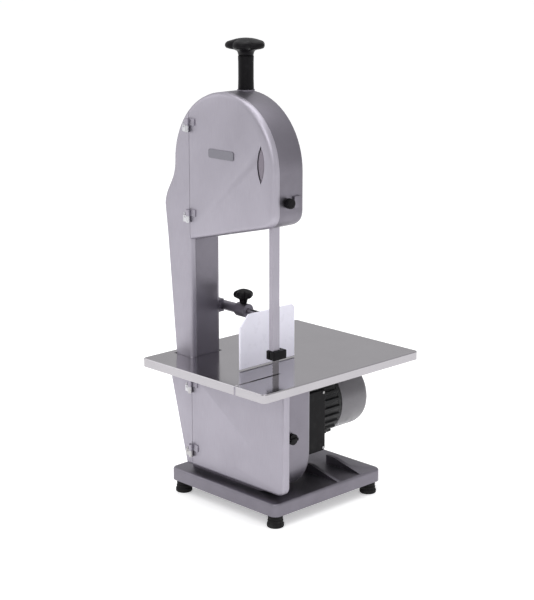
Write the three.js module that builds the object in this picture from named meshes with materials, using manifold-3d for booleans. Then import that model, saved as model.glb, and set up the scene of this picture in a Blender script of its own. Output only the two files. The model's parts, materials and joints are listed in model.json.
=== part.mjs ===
/*
 * Tabletop bone saw: a band saw with two wheels, one above the other, for cutting bone and frozen meat.
 *
 * Millimetres, +Z up. X runs along the plane of the wheels, from the column at -X to the cutting strand at +X.
 * Y runs along the wheels' axles, from the operator and the doors at -Y to the motor at +Y. The feet stand on z = 0.
 *
 * Each piece is one closed solid in a mesh of its own. Booleans are made with manifold-3d.
 */
import * as THREE from 'three';
import { mergeVertices } from 'three/addons/utils/BufferGeometryUtils.js';
import Module from 'manifold-3d';

const wasm = await Module();
wasm.setup();

/* ------------------------------------------------------------------ driving sizes */

const gap = 0.3; // left between pieces that touch
const slideGap = 0.5; // each side of a piece that slides or turns in another

// band and wheels
const bandLength = 1550;
const bandWidth = 16;
const bandThickness = 0.6;
const wheelDiameter = 196;
const wheelWidth = 18;
const flangeHeight = 3;
const flangeWidth = 3;
const hubRadius = 24;
const wheelX = -7; // places the wheels so that the plan of the whole saw is centred on the origin

// feet and base
const footHeight = 24;
const footRadius = 15.5;
const footInset = 18;
const baseHeight = 24;
const baseWidth = 282;
const baseDepth = 279;
const baseWall = 5;
const baseCornerRadius = 14;
const ribWidth = 8;
const ribHeight = 16;
const ribInnerRun = 60; // wheel axle line to the ribs' inner ends
const ribSpacing = 60;
const ribSetBack = 67; // from the housing's rear face to the first rib
const baseFrontMargin = 17; // base in front of the doors' plane
const baseRightMargin = 53; // base beyond the cutting strand

// frame castings
const frontY = -135; // outer plane of the doors and covers
const frameDepth = 74;
const doorDepth = 13.4;
const wall = 5;
const doorWall = 3.5;
const columnWidth = 46; // at the table
const columnTopWidth = 66;
const strandToThroat = 12; // from the returning strand to the column's throat face
const archMargin = 32; // head outside the wheel
const archRise = 5; // centre of the head's arch above the upper axle
const headFloorRise = 116; // upper axle down to the head's floor, measured at the wheel's axle line
const headFloorSlope = 0.242; // rise of the head's floor toward the cutting side
const headCornerRadius = 24;
const shoulderDrop = 78; // upper axle down to the shoulder on the column side
const shoulderWidth = 159; // wheel axle line to the shoulder
const edgeRound = 9;
const seamGap = 0.8;
const archSteps = 18; // straight pieces along the head's arch

// lower housing
const housingDepth = 83; // from the doors' plane to the housing's rear
const housingWall = 4;
const wheelRun = 2.7; // under the lower wheel's flange
const tableRun = 6.7; // over the lower wheel's flange, to the underside of the table
const housingRightMargin = 43; // beyond the cutting strand
const housingCornerRadius = 70;
const lowerDoorOverhang = 14;
const lowerDoorCornerRadius = 18;
const lowerDoorLift = 10; // lower edge of the door above the base
const lowerDoorDrop = 20; // upper edge of the door below the table's top
const housingTopLeft = 147; // wheel axle line to the housing's upper left corner
const housingBottomLeft = 101; // wheel axle line to the housing's lower left corner
const housingKneeDrop = 50; // where the left wall starts to lean in, below the table's top

// table
const tableWidth = 323;
const tableDepth = 400;
const tableSheet = 2;
const tableLip = 16;
const tableCornerRadius = 8;
const tableRightMargin = 75; // beyond the cutting strand
const bladeSlotWidth = 5;
const shelfDrop = 6; // the column's shelf, below the top of the housing
const supportInsetLeft = 22; // from the table's left edge to the left support
const supportInsetRight = 70; // from the table's right edge to the right support's left face

// tension
const sleeveHeight = 60;
const sleeveRadius = 14;
const seatHeight = 1.5; // raised seat under the sleeve
const seatMargin = 1.5; // seat beyond the sleeve
const knobHeight = 30;
const knobRadius = 37;
const knobLobes = 5;
const knobTurn = (226 * Math.PI) / 180; // direction of one lobe
const screwRadius = 6;
const tensionTravel = 6; // the carriage can go down by this much
const carriageWidth = 70;
const carriageHeight = 110;
const carriageDepth = 14;
const railWidth = 8;

// motor
const shaftRadius = 12;
const motorFlangeRadius = 80;
const motorFlangeDepth = 11;
const motorRadius = 70;
const finDepth = 5;
const finCount = 28;
const motorLength = 140;
const endShieldDepth = 10;
const cowlRadius = 64;
const cowlLength = 76;
const cowlWall = 2;
const rotorRadius = 32;
const bearingOuterRadius = 22;
const bearingWidth = 10;

// blade guard
const guardWidth = 10;
const guardDepth = 16;
const guardWall = 2.5;
const guideHeight = 16;
const guideAboveTable = 30;
const guardBarTopAboveFloor = 56; // upper end of the guard bar above the head's floor
const guardKnobRadius = 9;
const guardKnobRise = 16; // above the round corner of the head's floor

// portion gauge
const gaugeRodRadius = 5;
const gaugeRodRise = 84; // above the table's top
const gaugeRodBehindColumn = 13;
const gaugeArmRadius = 9;
const gaugeArmReach = 60; // past the column's throat face
const gaugePlateX = 29;
const gaugePlateThickness = 4;
const gaugePlateLength = 137;
const gaugePlateHeight = 99;
const gaugePlateFront = -131;
const gaugeChamfer = 22;

// switches
const switchBoxWidth = 40;
const switchBoxHeight = 60;
const switchBoxDepth = 12;
const buttonRadius = 9;
const buttonHeight = 5;
const buttonTravelRoom = 4;

/* ------------------------------------------------------------------ dependent places */

const wheelRadius = wheelDiameter / 2;
const flangeRadius = wheelRadius + flangeHeight;
const bandRun = 0.3; // band clear of the wheels' faces
const centreDistance = (bandLength - Math.PI * wheelDiameter) / 2;
const baseTopZ = footHeight + baseHeight;
const lowerWheelZ = baseTopZ + gap + housingWall + wheelRun + flangeRadius;
const upperWheelZ = lowerWheelZ + centreDistance;
const tableTopZ = lowerWheelZ + flangeRadius + tableRun + gap + tableSheet;
const housingTopZ = tableTopZ - tableSheet - gap;
const columnFootZ = housingTopZ - shelfDrop; // the column stands on the housing's shelf
const bandX = wheelX + wheelRadius + bandRun;
const returnX = wheelX - wheelRadius - bandRun;
const throatX = returnX + strandToThroat;
const archZ = upperWheelZ + archRise;
const archRadius = wheelRadius + archMargin;
const headTopZ = archZ + archRadius;
const headRightX = wheelX + archRadius;
const castingFrontY = frontY + doorDepth;
const rearY = frontY + frameDepth;
const housingRearY = frontY + housingDepth;
const wheelMidY = frontY + frameDepth / 2;
const wheelFrontY = wheelMidY - wheelWidth / 2;
const wheelRearY = wheelMidY + wheelWidth / 2;
const bandRearY = wheelRearY - flangeWidth - slideGap;
const bandFrontY = bandRearY - bandWidth;
const shoulderX = wheelX - shoulderWidth;
const shoulderZ = upperWheelZ - shoulderDrop;
const headFloorAt = (x) => upperWheelZ - headFloorRise + (x - wheelX) * headFloorSlope;
const columnTopZ = headFloorAt(throatX);
const columnLeftAt = (z) =>
  throatX - columnWidth - ((z - columnFootZ) * (columnTopWidth - columnWidth)) / (columnTopZ - columnFootZ);
const tableRightX = wheelX + wheelRadius + tableRightMargin;
const tableLeftX = tableRightX - tableWidth;
const baseRightX = wheelX + wheelRadius + baseRightMargin;
const baseLeftX = baseRightX - baseWidth;
const baseFrontY = frontY - baseFrontMargin;
const baseRearY = baseFrontY + baseDepth;
const housingRightX = wheelX + wheelRadius + housingRightMargin;
const lowerDoorRightX = housingRightX + lowerDoorOverhang;
const lowerDoorBottomZ = baseTopZ + lowerDoorLift;
const lowerDoorTopZ = tableTopZ - lowerDoorDrop;
const screwY = rearY - wall - 4 - carriageDepth / 2;
const motorFrontY = housingRearY + gap;
const bodyFrontY = motorFrontY + motorFlangeDepth + gap;
const bodyRearY = bodyFrontY + motorLength;
const shieldFrontY = bodyRearY + gap;
const shieldRearY = shieldFrontY + endShieldDepth;
const cowlFrontY = shieldRearY + gap;
const cowlRearY = cowlFrontY + cowlLength;
const guardFrontY = bandFrontY - 2 - guardWall;
const guardRightX = wheelX + flangeRadius + 1.5 + guardWall;
const gaugeRodY = rearY + gaugeRodBehindColumn;
const gaugeRodZ = tableTopZ + gaugeRodRise;
const planCentreX = (shoulderX + tableRightX) / 2;

/* ------------------------------------------------------------------ geometry helpers */

function solidOf(geometry) {
  const bare = geometry.clone();
  bare.deleteAttribute('normal');
  bare.deleteAttribute('uv');
  const merged = mergeVertices(bare, 1e-4);
  return new wasm.Manifold(
    new wasm.Mesh({
      numProp: 3,
      vertProperties: new Float32Array(merged.attributes.position.array),
      triVerts: new Uint32Array(merged.index.array),
    }),
  );
}

function geometryOf(solid) {
  const mesh = solid.getMesh();
  const geometry = new THREE.BufferGeometry();
  geometry.setAttribute('position', new THREE.BufferAttribute(mesh.vertProperties, 3));
  geometry.setIndex(new THREE.BufferAttribute(mesh.triVerts, 1));
  geometry.computeVertexNormals();
  return geometry;
}

function join(first, ...others) {
  let result = solidOf(first);
  for (const other of others) result = result.add(solidOf(other));
  return geometryOf(result);
}

function carve(first, ...tools) {
  let result = solidOf(first);
  for (const tool of tools) result = result.subtract(solidOf(tool));
  return geometryOf(result);
}

function common(first, second) {
  return geometryOf(solidOf(first).intersect(solidOf(second)));
}

/** A box between two limits on each axis. */
function block(x0, x1, y0, y1, z0, z1) {
  const geometry = new THREE.BoxGeometry(x1 - x0, y1 - y0, z1 - z0);
  geometry.translate((x0 + x1) / 2, (y0 + y1) / 2, (z0 + z1) / 2);
  return geometry;
}

const far = 2000;

function keepAbove(geometry, z) {
  return common(geometry, block(-far, far, -far, far, z, far));
}

function keepBelow(geometry, z) {
  return common(geometry, block(-far, far, -far, far, -far, z));
}

function keepRightOf(geometry, x) {
  return common(geometry, block(x, far, -far, far, -far, far));
}

function keepLeftOf(geometry, x) {
  return common(geometry, block(-far, x, -far, far, -far, far));
}

/** Extrudes an outline drawn in X and Z along Y. Both ends are rounded by `round`, within the outline. */
function alongY(shape, y0, y1, round = 0, steps = 3, arcSteps = 5) {
  const geometry = new THREE.ExtrudeGeometry(shape, {
    depth: y1 - y0 - 2 * round,
    bevelEnabled: round > 0,
    bevelThickness: round,
    bevelSize: round,
    bevelOffset: -round,
    bevelSegments: steps,
    curveSegments: arcSteps,
  });
  geometry.rotateX(Math.PI / 2);
  geometry.translate(0, y1 - round, 0);
  return geometry;
}

/** The same along Y, with only the front end rounded. */
function frontRounded(shape, y0, y1, round, arcSteps) {
  const longer = alongY(shape, y0, y1 + 3 * round, round, 3, arcSteps);
  return common(longer, block(-far, far, -far, y1, -far, far));
}

/** The same along Y, with only the rear end rounded. */
function rearRounded(shape, y0, y1, round, arcSteps) {
  const longer = alongY(shape, y0 - 3 * round, y1, round, 3, arcSteps);
  return common(longer, block(-far, far, y0, far, -far, far));
}

/** Extrudes an outline drawn in X and Y along Z. */
function alongZ(shape, z0, z1, round = 0, steps = 1, arcSteps = 4) {
  const geometry = new THREE.ExtrudeGeometry(shape, {
    depth: z1 - z0 - 2 * round,
    bevelEnabled: round > 0,
    bevelThickness: round,
    bevelSize: round,
    bevelOffset: -round,
    bevelSegments: steps,
    curveSegments: arcSteps,
  });
  geometry.translate(0, 0, z0 + round);
  return geometry;
}

/** Extrudes an outline drawn in Y and Z along X. */
function alongX(shape, x0, x1, round = 0, steps = 1, arcSteps = 3) {
  const geometry = new THREE.ExtrudeGeometry(shape, {
    depth: x1 - x0 - 2 * round,
    bevelEnabled: round > 0,
    bevelThickness: round,
    bevelSize: round,
    bevelOffset: -round,
    bevelSegments: steps,
    curveSegments: arcSteps,
  });
  geometry.rotateX(Math.PI / 2);
  geometry.rotateZ(Math.PI / 2);
  geometry.translate(x0 + round, 0, 0);
  return geometry;
}

/** Turns a profile of [radius, height] points about Y, with its heights along Y. */
function turnedY(profile, segments = 24) {
  const points = profile.map(([radius, height]) => new THREE.Vector2(radius, height));
  return new THREE.LatheGeometry(points, segments);
}

/** Turns a profile of [radius, height] points about Z. */
function turnedZ(profile, segments = 24) {
  const geometry = turnedY(profile, segments);
  geometry.rotateX(Math.PI / 2);
  return geometry;
}

function rodY(x, z, radius, y0, y1, segments = 24) {
  const geometry = new THREE.CylinderGeometry(radius, radius, y1 - y0, segments);
  geometry.translate(x, (y0 + y1) / 2, z);
  return geometry;
}

function rodZ(x, y, radius, z0, z1, segments = 24) {
  const geometry = new THREE.CylinderGeometry(radius, radius, z1 - z0, segments);
  geometry.rotateX(Math.PI / 2);
  geometry.translate(x, y, (z0 + z1) / 2);
  return geometry;
}

function rodX(y, z, radius, x0, x1, segments = 24) {
  const geometry = new THREE.CylinderGeometry(radius, radius, x1 - x0, segments);
  geometry.rotateZ(Math.PI / 2);
  geometry.translate((x0 + x1) / 2, y, z);
  return geometry;
}

/** A rectangle with round corners. */
function roundedRectangle(a0, a1, b0, b1, radius) {
  const shape = new THREE.Shape();
  shape.moveTo(a0 + radius, b0);
  shape.lineTo(a1 - radius, b0);
  shape.absarc(a1 - radius, b0 + radius, radius, -Math.PI / 2, 0);
  shape.lineTo(a1, b1 - radius);
  shape.absarc(a1 - radius, b1 - radius, radius, 0, Math.PI / 2);
  shape.lineTo(a0 + radius, b1);
  shape.absarc(a0 + radius, b1 - radius, radius, Math.PI / 2, Math.PI);
  shape.lineTo(a0, b0 + radius);
  shape.absarc(a0 + radius, b0 + radius, radius, Math.PI, 1.5 * Math.PI);
  return shape;
}

/** A lens of two arcs, pointed at its upper and lower ends. */
function lens(x, z, width, height) {
  const shape = new THREE.Shape();
  shape.moveTo(x, z - height / 2);
  shape.quadraticCurveTo(x + width, z, x, z + height / 2);
  shape.quadraticCurveTo(x - width, z, x, z - height / 2);
  return shape;
}

/** A star knob's outline: round lobes on a circle, their radius following a cosine. */
function lobed(radius, lobes, depth, turn, pointsPerLobe) {
  const shape = new THREE.Shape();
  const count = lobes * pointsPerLobe;
  for (let i = 0; i < count; i++) {
    const angle = (2 * Math.PI * i) / count;
    const lobe = Math.pow(0.5 + 0.5 * Math.cos(lobes * (angle - turn)), 0.7);
    const r = radius - depth * (1 - lobe);
    if (i === 0) shape.moveTo(r * Math.cos(angle), r * Math.sin(angle));
    else shape.lineTo(r * Math.cos(angle), r * Math.sin(angle));
  }
  shape.closePath();
  return shape;
}

/* ------------------------------------------------------------------ outlines of the castings */

/** Outline of head and column together, in X and Z, drawn `inset` inside the outer face. */
function frameOutline(inset, footZ = columnFootZ - 20) {
  const right = headRightX - inset;
  const floor = (x) => headFloorAt(x) + inset * Math.hypot(1, headFloorSlope);
  const throat = throatX - inset;
  const shape = new THREE.Shape();
  shape.moveTo(columnLeftAt(footZ) + inset, footZ);
  shape.lineTo(throat, footZ);
  shape.lineTo(throat, floor(throat));
  shape.lineTo(right - headCornerRadius, floor(right - headCornerRadius));
  shape.quadraticCurveTo(right, floor(right), right, floor(right) + headCornerRadius);
  shape.lineTo(right, archZ);
  shape.absarc(wheelX, archZ, archRadius - inset, 0, Math.PI);
  shape.bezierCurveTo(
    wheelX - archRadius + inset,
    archZ - 40,
    shoulderX + inset + 2,
    shoulderZ + 32,
    shoulderX + inset,
    shoulderZ,
  );
  shape.lineTo(columnLeftAt(columnTopZ) + inset, columnTopZ);
  return shape;
}

/** Outline of the lower housing, in X and Z. */
function housingOutline(inset, bottomZ, topZ) {
  const radius = housingCornerRadius - inset;
  const right = housingRightX - inset;
  const bottom = bottomZ + inset;
  const shape = new THREE.Shape();
  shape.moveTo(wheelX - housingBottomLeft + inset, bottom);
  shape.lineTo(right - radius, bottom);
  shape.absarc(right - radius, bottom + radius, radius, -Math.PI / 2, 0);
  shape.lineTo(right, topZ);
  shape.lineTo(wheelX - housingTopLeft + inset, topZ);
  shape.lineTo(wheelX - housingTopLeft + 2 + inset, tableTopZ - housingKneeDrop);
  return shape;
}

/** Outline of the lower front: the door and the narrow cover beside it. */
function lowerFrontOutline(inset, topZ) {
  const lean = (housingTopLeft - housingBottomLeft) * (lowerDoorLift / (tableTopZ - housingKneeDrop - baseTopZ));
  const radius = lowerDoorCornerRadius - inset;
  const right = lowerDoorRightX - inset;
  const bottom = lowerDoorBottomZ + inset;
  const shape = new THREE.Shape();
  shape.moveTo(wheelX - housingBottomLeft - lean + inset, bottom);
  shape.lineTo(right - radius, bottom);
  shape.absarc(right - radius, bottom + radius, radius, -Math.PI / 2, 0);
  shape.lineTo(right, topZ - inset);
  shape.lineTo(wheelX - housingTopLeft + inset, topZ - inset);
  shape.lineTo(wheelX - housingTopLeft + 2 + inset, tableTopZ - housingKneeDrop);
  return shape;
}

/* ------------------------------------------------------------------ feet and base */

const footPlaces = [
  ['foot_front_left', baseLeftX + footInset, baseFrontY + footInset],
  ['foot_front_right', baseRightX - footInset, baseFrontY + footInset],
  ['foot_rear_left', baseLeftX + footInset, baseRearY - footInset],
  ['foot_rear_right', baseRightX - footInset, baseRearY - footInset],
];

function foot() {
  const top = footHeight - gap;
  return turnedZ([
    [0, 0],
    [footRadius - 1.5, 0],
    [footRadius, 1.5],
    [footRadius, 6],
    [footRadius - 3, top - 3],
    [footRadius - 3, top],
    [0, top],
  ], 20);
}

/** Cast tray, open underneath, with a pad over each foot and two ribs beside the motor. */
function basePlate() {
  const plan = roundedRectangle(baseLeftX, baseRightX, baseFrontY, baseRearY, baseCornerRadius);
  const hollowPlan = roundedRectangle(
    baseLeftX + baseWall,
    baseRightX - baseWall,
    baseFrontY + baseWall,
    baseRearY - baseWall,
    baseCornerRadius - baseWall,
  );
  const outer = keepAbove(alongZ(plan, footHeight - 12, baseTopZ, 4, 3), footHeight);
  const tray = carve(outer, alongZ(hollowPlan, footHeight - 1, baseTopZ - baseWall));
  const pads = footPlaces.map(([, x, y]) => rodZ(x, y, footRadius + 2, footHeight, baseTopZ - baseWall / 2, 24));
  const ribInner = wheelX + ribInnerRun;
  const ribOuter = baseRightX - baseWall;
  const firstRibY = housingRearY + ribSetBack;
  const ribs = [firstRibY, firstRibY + ribSpacing].map((y) => {
    const rib = new THREE.Shape();
    rib.moveTo(ribInner, baseTopZ - 2);
    rib.lineTo(ribOuter, baseTopZ - 2);
    rib.lineTo(ribOuter, baseTopZ + 1);
    rib.lineTo(ribInner + 20, baseTopZ + ribHeight);
    rib.lineTo(ribInner, baseTopZ + ribHeight);
    return alongY(rib, y - ribWidth / 2, y + ribWidth / 2);
  });
  return join(tray, ...pads, ...ribs);
}

/* ------------------------------------------------------------------ castings, covers and doors */

/** Open pan around the lower wheel, with a shelf that the column stands on. */
function lowerHousing() {
  const bottom = baseTopZ + gap;
  const front = castingFrontY + gap;
  const innerRear = housingRearY - housingWall;
  const outer = rearRounded(housingOutline(0, bottom, housingTopZ), front, housingRearY, edgeRound);
  const hollow = alongY(housingOutline(housingWall, bottom, housingTopZ + 20), front - 5, innerRear);
  const shelfTop = columnFootZ - gap;
  const left = wheelX - housingTopLeft + 2;
  const shelf = block(left, throatX + 2, front, innerRear + 1, shelfTop - 6, shelfTop);
  const columnNotch = block(-far, throatX + 2 + gap, -far, far, shelfTop, far);
  const strandOpening = block(
    returnX - 9,
    returnX + 9,
    bandFrontY - 6,
    bandRearY + 6,
    shelfTop - 20,
    shelfTop + 20,
  );
  const shaftHole = rodY(wheelX, lowerWheelZ, bearingOuterRadius + 8, innerRear - 5, housingRearY + 5, 40);
  return carve(join(carve(outer, hollow), shelf), columnNotch, strandOpening, shaftHole);
}

function frameCasting() {
  const outer = rearRounded(frameOutline(0), castingFrontY + gap, rearY, edgeRound, archSteps);
  const inner = frameOutline(wall, columnFootZ - 40);
  const hollow = alongY(inner, castingFrontY - 5, rearY - wall, 0, 1, archSteps);
  return carve(outer, hollow);
}

/** Channel that carries the head and encloses the returning strand. */
function column() {
  return keepAbove(keepBelow(frameCasting(), columnTopZ - gap), columnFootZ);
}

const guardKnobY = guardFrontY + guardDepth / 2;
const guardKnobZ = headFloorAt(headRightX) + headCornerRadius + guardKnobRise;

/** Pan around the upper wheel, open to the front, with holes for the screw, the blade and the guard's lock. */
function headCasting() {
  const pan = keepAbove(frameCasting(), columnTopZ);
  const screwSeat = rodZ(wheelX, screwY, sleeveRadius + seatMargin, headTopZ - 8, headTopZ + seatHeight);
  const guardPad = block(
    headRightX - 2,
    headRightX + 5,
    guardKnobY + 14,
    guardKnobY + 30,
    guardKnobZ - 10,
    guardKnobZ + 10,
  );
  const screwHole = rodZ(wheelX, screwY, screwRadius + slideGap, headTopZ - 30, headTopZ + 20);
  const guardOpening = block(
    bandX - 5,
    guardRightX + 3,
    guardFrontY - 3,
    bandRearY + 5,
    columnTopZ - 5,
    headFloorAt(guardRightX) + 12,
  );
  const knobHole = rodX(guardKnobY, guardKnobZ, 5, headRightX - 20, headRightX + 20, 20);
  return carve(join(pan, screwSeat, guardPad), screwHole, guardOpening, knobHole);
}

/** Front face of head and column, rounded at its outer edge, before it is parted at the seam. */
function upperFront() {
  return frontRounded(frameOutline(0), frontY, castingFrontY, edgeRound, archSteps);
}

function upperFrontHollow() {
  const inner = frameOutline(doorWall, columnFootZ - 40);
  return alongY(inner, frontY + doorWall, castingFrontY + 5, 0, 1, archSteps);
}

/** Fixed cover over the column and the column side of the head. */
function columnCover() {
  const edge = throatX - seamGap / 2;
  const cover = keepAbove(keepLeftOf(upperFront(), edge), columnFootZ);
  const hollow = keepLeftOf(upperFrontHollow(), edge - doorWall);
  return carve(cover, hollow);
}

const hingeRadius = 4;
const hingePinRadius = 2;
const knuckleHeight = 12;
const leafWidth = 16;
const leafThickness = 2;
const hingeX = throatX;
const hingeY = frontY - hingeRadius - gap;
const upperHingeHeights = [columnTopZ + 45, archZ + 66];
const lowerHingeHeights = [lowerDoorBottomZ + 30, lowerDoorTopZ - 34];

/** The door's own knuckle and leaf, with the bore for the pin. */
function doorKnuckles(door, heights) {
  const leaves = heights.map((z) =>
    block(hingeX, hingeX + leafWidth, frontY - leafThickness, frontY + 1, z, z + knuckleHeight),
  );
  const barrels = heights.map((z) => rodZ(hingeX, hingeY, hingeRadius, z, z + knuckleHeight, 24));
  const bores = heights.map((z) =>
    rodZ(hingeX, hingeY, hingePinRadius + slideGap, z - 1, z + knuckleHeight + 1, 20),
  );
  const room = heights.map((z) =>
    block(hingeX - 9, hingeX + seamGap, frontY - leafThickness, frontY - gap, z - 1, z + knuckleHeight + 1),
  );
  return carve(join(carve(join(door, ...leaves), ...room), ...barrels), ...bores);
}

/** The fixed half of a lift-off hinge: leaf, knuckle and pin in one. */
function fixedHinge(z) {
  const top = z - gap;
  const bottom = top - knuckleHeight;
  const leaf = block(hingeX - leafWidth, hingeX, frontY - leafThickness - gap, frontY - gap, bottom, top);
  const barrel = rodZ(hingeX, hingeY, hingeRadius, bottom, top, 24);
  const pin = rodZ(hingeX, hingeY, hingePinRadius, bottom, z + knuckleHeight - 1, 20);
  return join(leaf, barrel, pin);
}

const gripX = headRightX - 33;
const gripZ = upperWheelZ + 20;
const gripWidth = 18;
const gripHeight = 66;
const gripDepth = 7;

function upperDoor() {
  const edge = throatX + seamGap / 2;
  const face = keepRightOf(upperFront(), edge);
  const hollow = keepRightOf(upperFrontHollow(), edge + doorWall);
  const cupOutline = lens(gripX, gripZ, gripWidth + 6, gripHeight + 14);
  const cup = alongY(cupOutline, frontY + 1, frontY + gripDepth + 2.5);
  const pocket = alongY(lens(gripX, gripZ, gripWidth, gripHeight), frontY - 1, frontY + gripDepth);
  return doorKnuckles(carve(join(carve(face, hollow), cup), pocket), upperHingeHeights);
}

/** Lens-shaped pull in the door's pocket, hinged at its upper end. */
function upperDoorLatch() {
  return alongY(lens(gripX, gripZ, gripWidth - 4, gripHeight - 8), frontY + 1, frontY + 4);
}

function badge() {
  const z = upperWheelZ + 27;
  const plate = roundedRectangle(wheelX - 34, wheelX + 30, z - 8, z + 8, 4);
  return alongY(plate, frontY - 1.2 - gap, frontY - gap);
}

/** Fixed cover beside the lower door. */
function lowerSideCover() {
  const edge = throatX - seamGap / 2;
  const top = columnFootZ - gap;
  const front = frontRounded(lowerFrontOutline(0, top), frontY, castingFrontY, edgeRound / 2);
  const face = keepLeftOf(front, edge);
  const hollow = alongY(lowerFrontOutline(doorWall, top), frontY + doorWall, castingFrontY + 5);
  return carve(face, keepLeftOf(hollow, edge - doorWall));
}

function lowerDoor() {
  const edge = throatX + seamGap / 2;
  const front = frontRounded(lowerFrontOutline(0, lowerDoorTopZ), frontY, castingFrontY, edgeRound / 2);
  const face = keepRightOf(front, edge);
  const hollow = alongY(lowerFrontOutline(doorWall, lowerDoorTopZ), frontY + doorWall, castingFrontY + 5);
  return doorKnuckles(carve(face, keepRightOf(hollow, edge + doorWall)), lowerHingeHeights);
}

const lowerLatchY = castingFrontY + 18;
const lowerLatchZ = lowerWheelZ + 2;

/** Turn-button on the housing's right wall; its tongue reaches into the lower door. */
function lowerDoorLatch() {
  const inner = housingRightX + gap;
  const button = rodX(lowerLatchY, lowerLatchZ, 10, inner, inner + 7, 28);
  const tongue = block(inner + 1, inner + 6, castingFrontY - 4, lowerLatchY, lowerLatchZ - 4, lowerLatchZ + 4);
  const fingerBar = block(
    inner + 6,
    inner + 10,
    lowerLatchY - 9,
    lowerLatchY + 9,
    lowerLatchZ - 2.5,
    lowerLatchZ + 2.5,
  );
  return join(button, tongue, fingerBar);
}

/* ------------------------------------------------------------------ wheels and band */

/** A flanged wheel turned about its own axle line: rim, web with round holes, and hub. */
function wheel(boreRadius) {
  const half = wheelWidth / 2;
  const rimInner = wheelRadius - 9;
  const webHalf = 3;
  const turned = turnedY(
    [
      [boreRadius, -half],
      [hubRadius, -half],
      [hubRadius + 1, -webHalf],
      [rimInner, -webHalf],
      [rimInner, -half],
      [wheelRadius, -half],
      [wheelRadius, half - flangeWidth],
      [flangeRadius, half - flangeWidth],
      [flangeRadius, half],
      [rimInner, half],
      [rimInner, webHalf],
      [hubRadius + 1, webHalf],
      [hubRadius, half],
      [boreRadius, half],
      [boreRadius, -half],
    ],
    48,
  );
  const holeCount = 6;
  const holeRadius = 17;
  const holeCircle = (hubRadius + rimInner) / 2;
  const holes = [];
  for (let i = 0; i < holeCount; i++) {
    const angle = (2 * Math.PI * i) / holeCount;
    holes.push(rodY(holeCircle * Math.cos(angle), holeCircle * Math.sin(angle), holeRadius, -half, half, 16));
  }
  return carve(turned, ...holes);
}

/** Closed loop around both wheels. */
function sawBand() {
  const loop = (radius) => {
    const path = new THREE.Shape();
    path.moveTo(wheelX + radius, lowerWheelZ);
    path.lineTo(wheelX + radius, upperWheelZ);
    path.absarc(wheelX, upperWheelZ, radius, 0, Math.PI);
    path.lineTo(wheelX - radius, lowerWheelZ);
    path.absarc(wheelX, lowerWheelZ, radius, Math.PI, 2 * Math.PI);
    return path;
  };
  const shape = loop(wheelRadius + bandRun + bandThickness);
  shape.holes.push(loop(wheelRadius + bandRun));
  const geometry = new THREE.ExtrudeGeometry(shape, {
    depth: bandWidth,
    bevelEnabled: false,
    curveSegments: 30,
  });
  geometry.rotateX(Math.PI / 2);
  geometry.translate(0, bandRearY, 0);
  return geometry;
}

/* ------------------------------------------------------------------ tensioning */

const carriageHalf = carriageWidth / 2;
const axleRadius = 8;
const upperBearingRadius = 17;
const upperBearingWidth = wheelWidth / 2 - gap;
const carriageFrontY = screwY - carriageDepth / 2;
const carriageRearY = screwY + carriageDepth / 2;
const carriageTopZ = upperWheelZ + carriageHeight / 2;
const screwEndZ = carriageTopZ - 26;
const sleeveBottomZ = headTopZ + seatHeight + gap;
const sleeveTopZ = headTopZ + sleeveHeight;
const knobBottomZ = sleeveTopZ + gap;
const springRadius = screwRadius + 2.1;

function wheelCarriage() {
  const plate = block(
    wheelX - carriageHalf,
    wheelX + carriageHalf,
    carriageFrontY,
    carriageRearY,
    upperWheelZ - carriageHeight / 2,
    carriageTopZ,
  );
  const axleBore = rodY(wheelX, upperWheelZ, axleRadius + gap, carriageFrontY - 5, carriageRearY + 5);
  const nutBore = rodZ(wheelX, screwY, screwRadius + gap, screwEndZ - tensionTravel, carriageTopZ + 5);
  return carve(plate, axleBore, nutBore);
}

/** Guide rail beside the carriage, with a lip in front of it. `side` is -1 or 1. */
function carriageRail(side) {
  const bottom = upperWheelZ - carriageHeight / 2 - tensionTravel - 3;
  const top = carriageTopZ + 4;
  const near = wheelX + side * (carriageHalf + slideGap);
  const away = near + side * railWidth;
  const lip = near - side * 4;
  const rear = rearY - wall - gap;
  const body = block(Math.min(near, away), Math.max(near, away), carriageFrontY - 3, rear, bottom, top);
  const lipBar = block(
    Math.min(lip, away),
    Math.max(lip, away),
    carriageFrontY - 3,
    carriageFrontY - slideGap,
    bottom,
    top,
  );
  return join(body, lipBar);
}

/** Fixed axle, with a collar between the carriage and the rear bearing. */
function upperAxle() {
  const front = wheelFrontY - 8;
  return turnedY([
    [0, front],
    [axleRadius - 1, front],
    [axleRadius, front + 1],
    [axleRadius, wheelRearY + gap],
    [axleRadius + 3, wheelRearY + gap],
    [axleRadius + 3, carriageFrontY - gap],
    [axleRadius, carriageFrontY - gap],
    [axleRadius, carriageRearY + 2],
    [0, carriageRearY + 2],
  ]);
}

function ring(innerRadius, outerRadius, y0, y1, segments = 36) {
  return turnedY(
    [
      [innerRadius, y0],
      [outerRadius, y0],
      [outerRadius, y1],
      [innerRadius, y1],
      [innerRadius, y0],
    ],
    segments,
  );
}

function hexNut(boreRadius, acrossCorners, y0, y1) {
  const geometry = new THREE.CylinderGeometry(acrossCorners, acrossCorners, y1 - y0, 6);
  geometry.translate(0, (y0 + y1) / 2, 0);
  return carve(geometry, rodY(0, 0, boreRadius, y0 - 1, y1 + 1, 24));
}

function tensionScrew() {
  const top = knobBottomZ + 18;
  return turnedZ([
    [0, screwEndZ],
    [screwRadius - 1, screwEndZ],
    [screwRadius, screwEndZ + 1],
    [screwRadius, top],
    [0, top],
  ]);
}

function tensionSleeve() {
  const bore = springRadius + 2;
  return turnedZ([
    [bore, sleeveBottomZ],
    [sleeveRadius, sleeveBottomZ],
    [sleeveRadius, sleeveTopZ - 2],
    [sleeveRadius - 1, sleeveTopZ],
    [bore, sleeveTopZ],
    [bore, sleeveBottomZ],
  ]);
}

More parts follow.
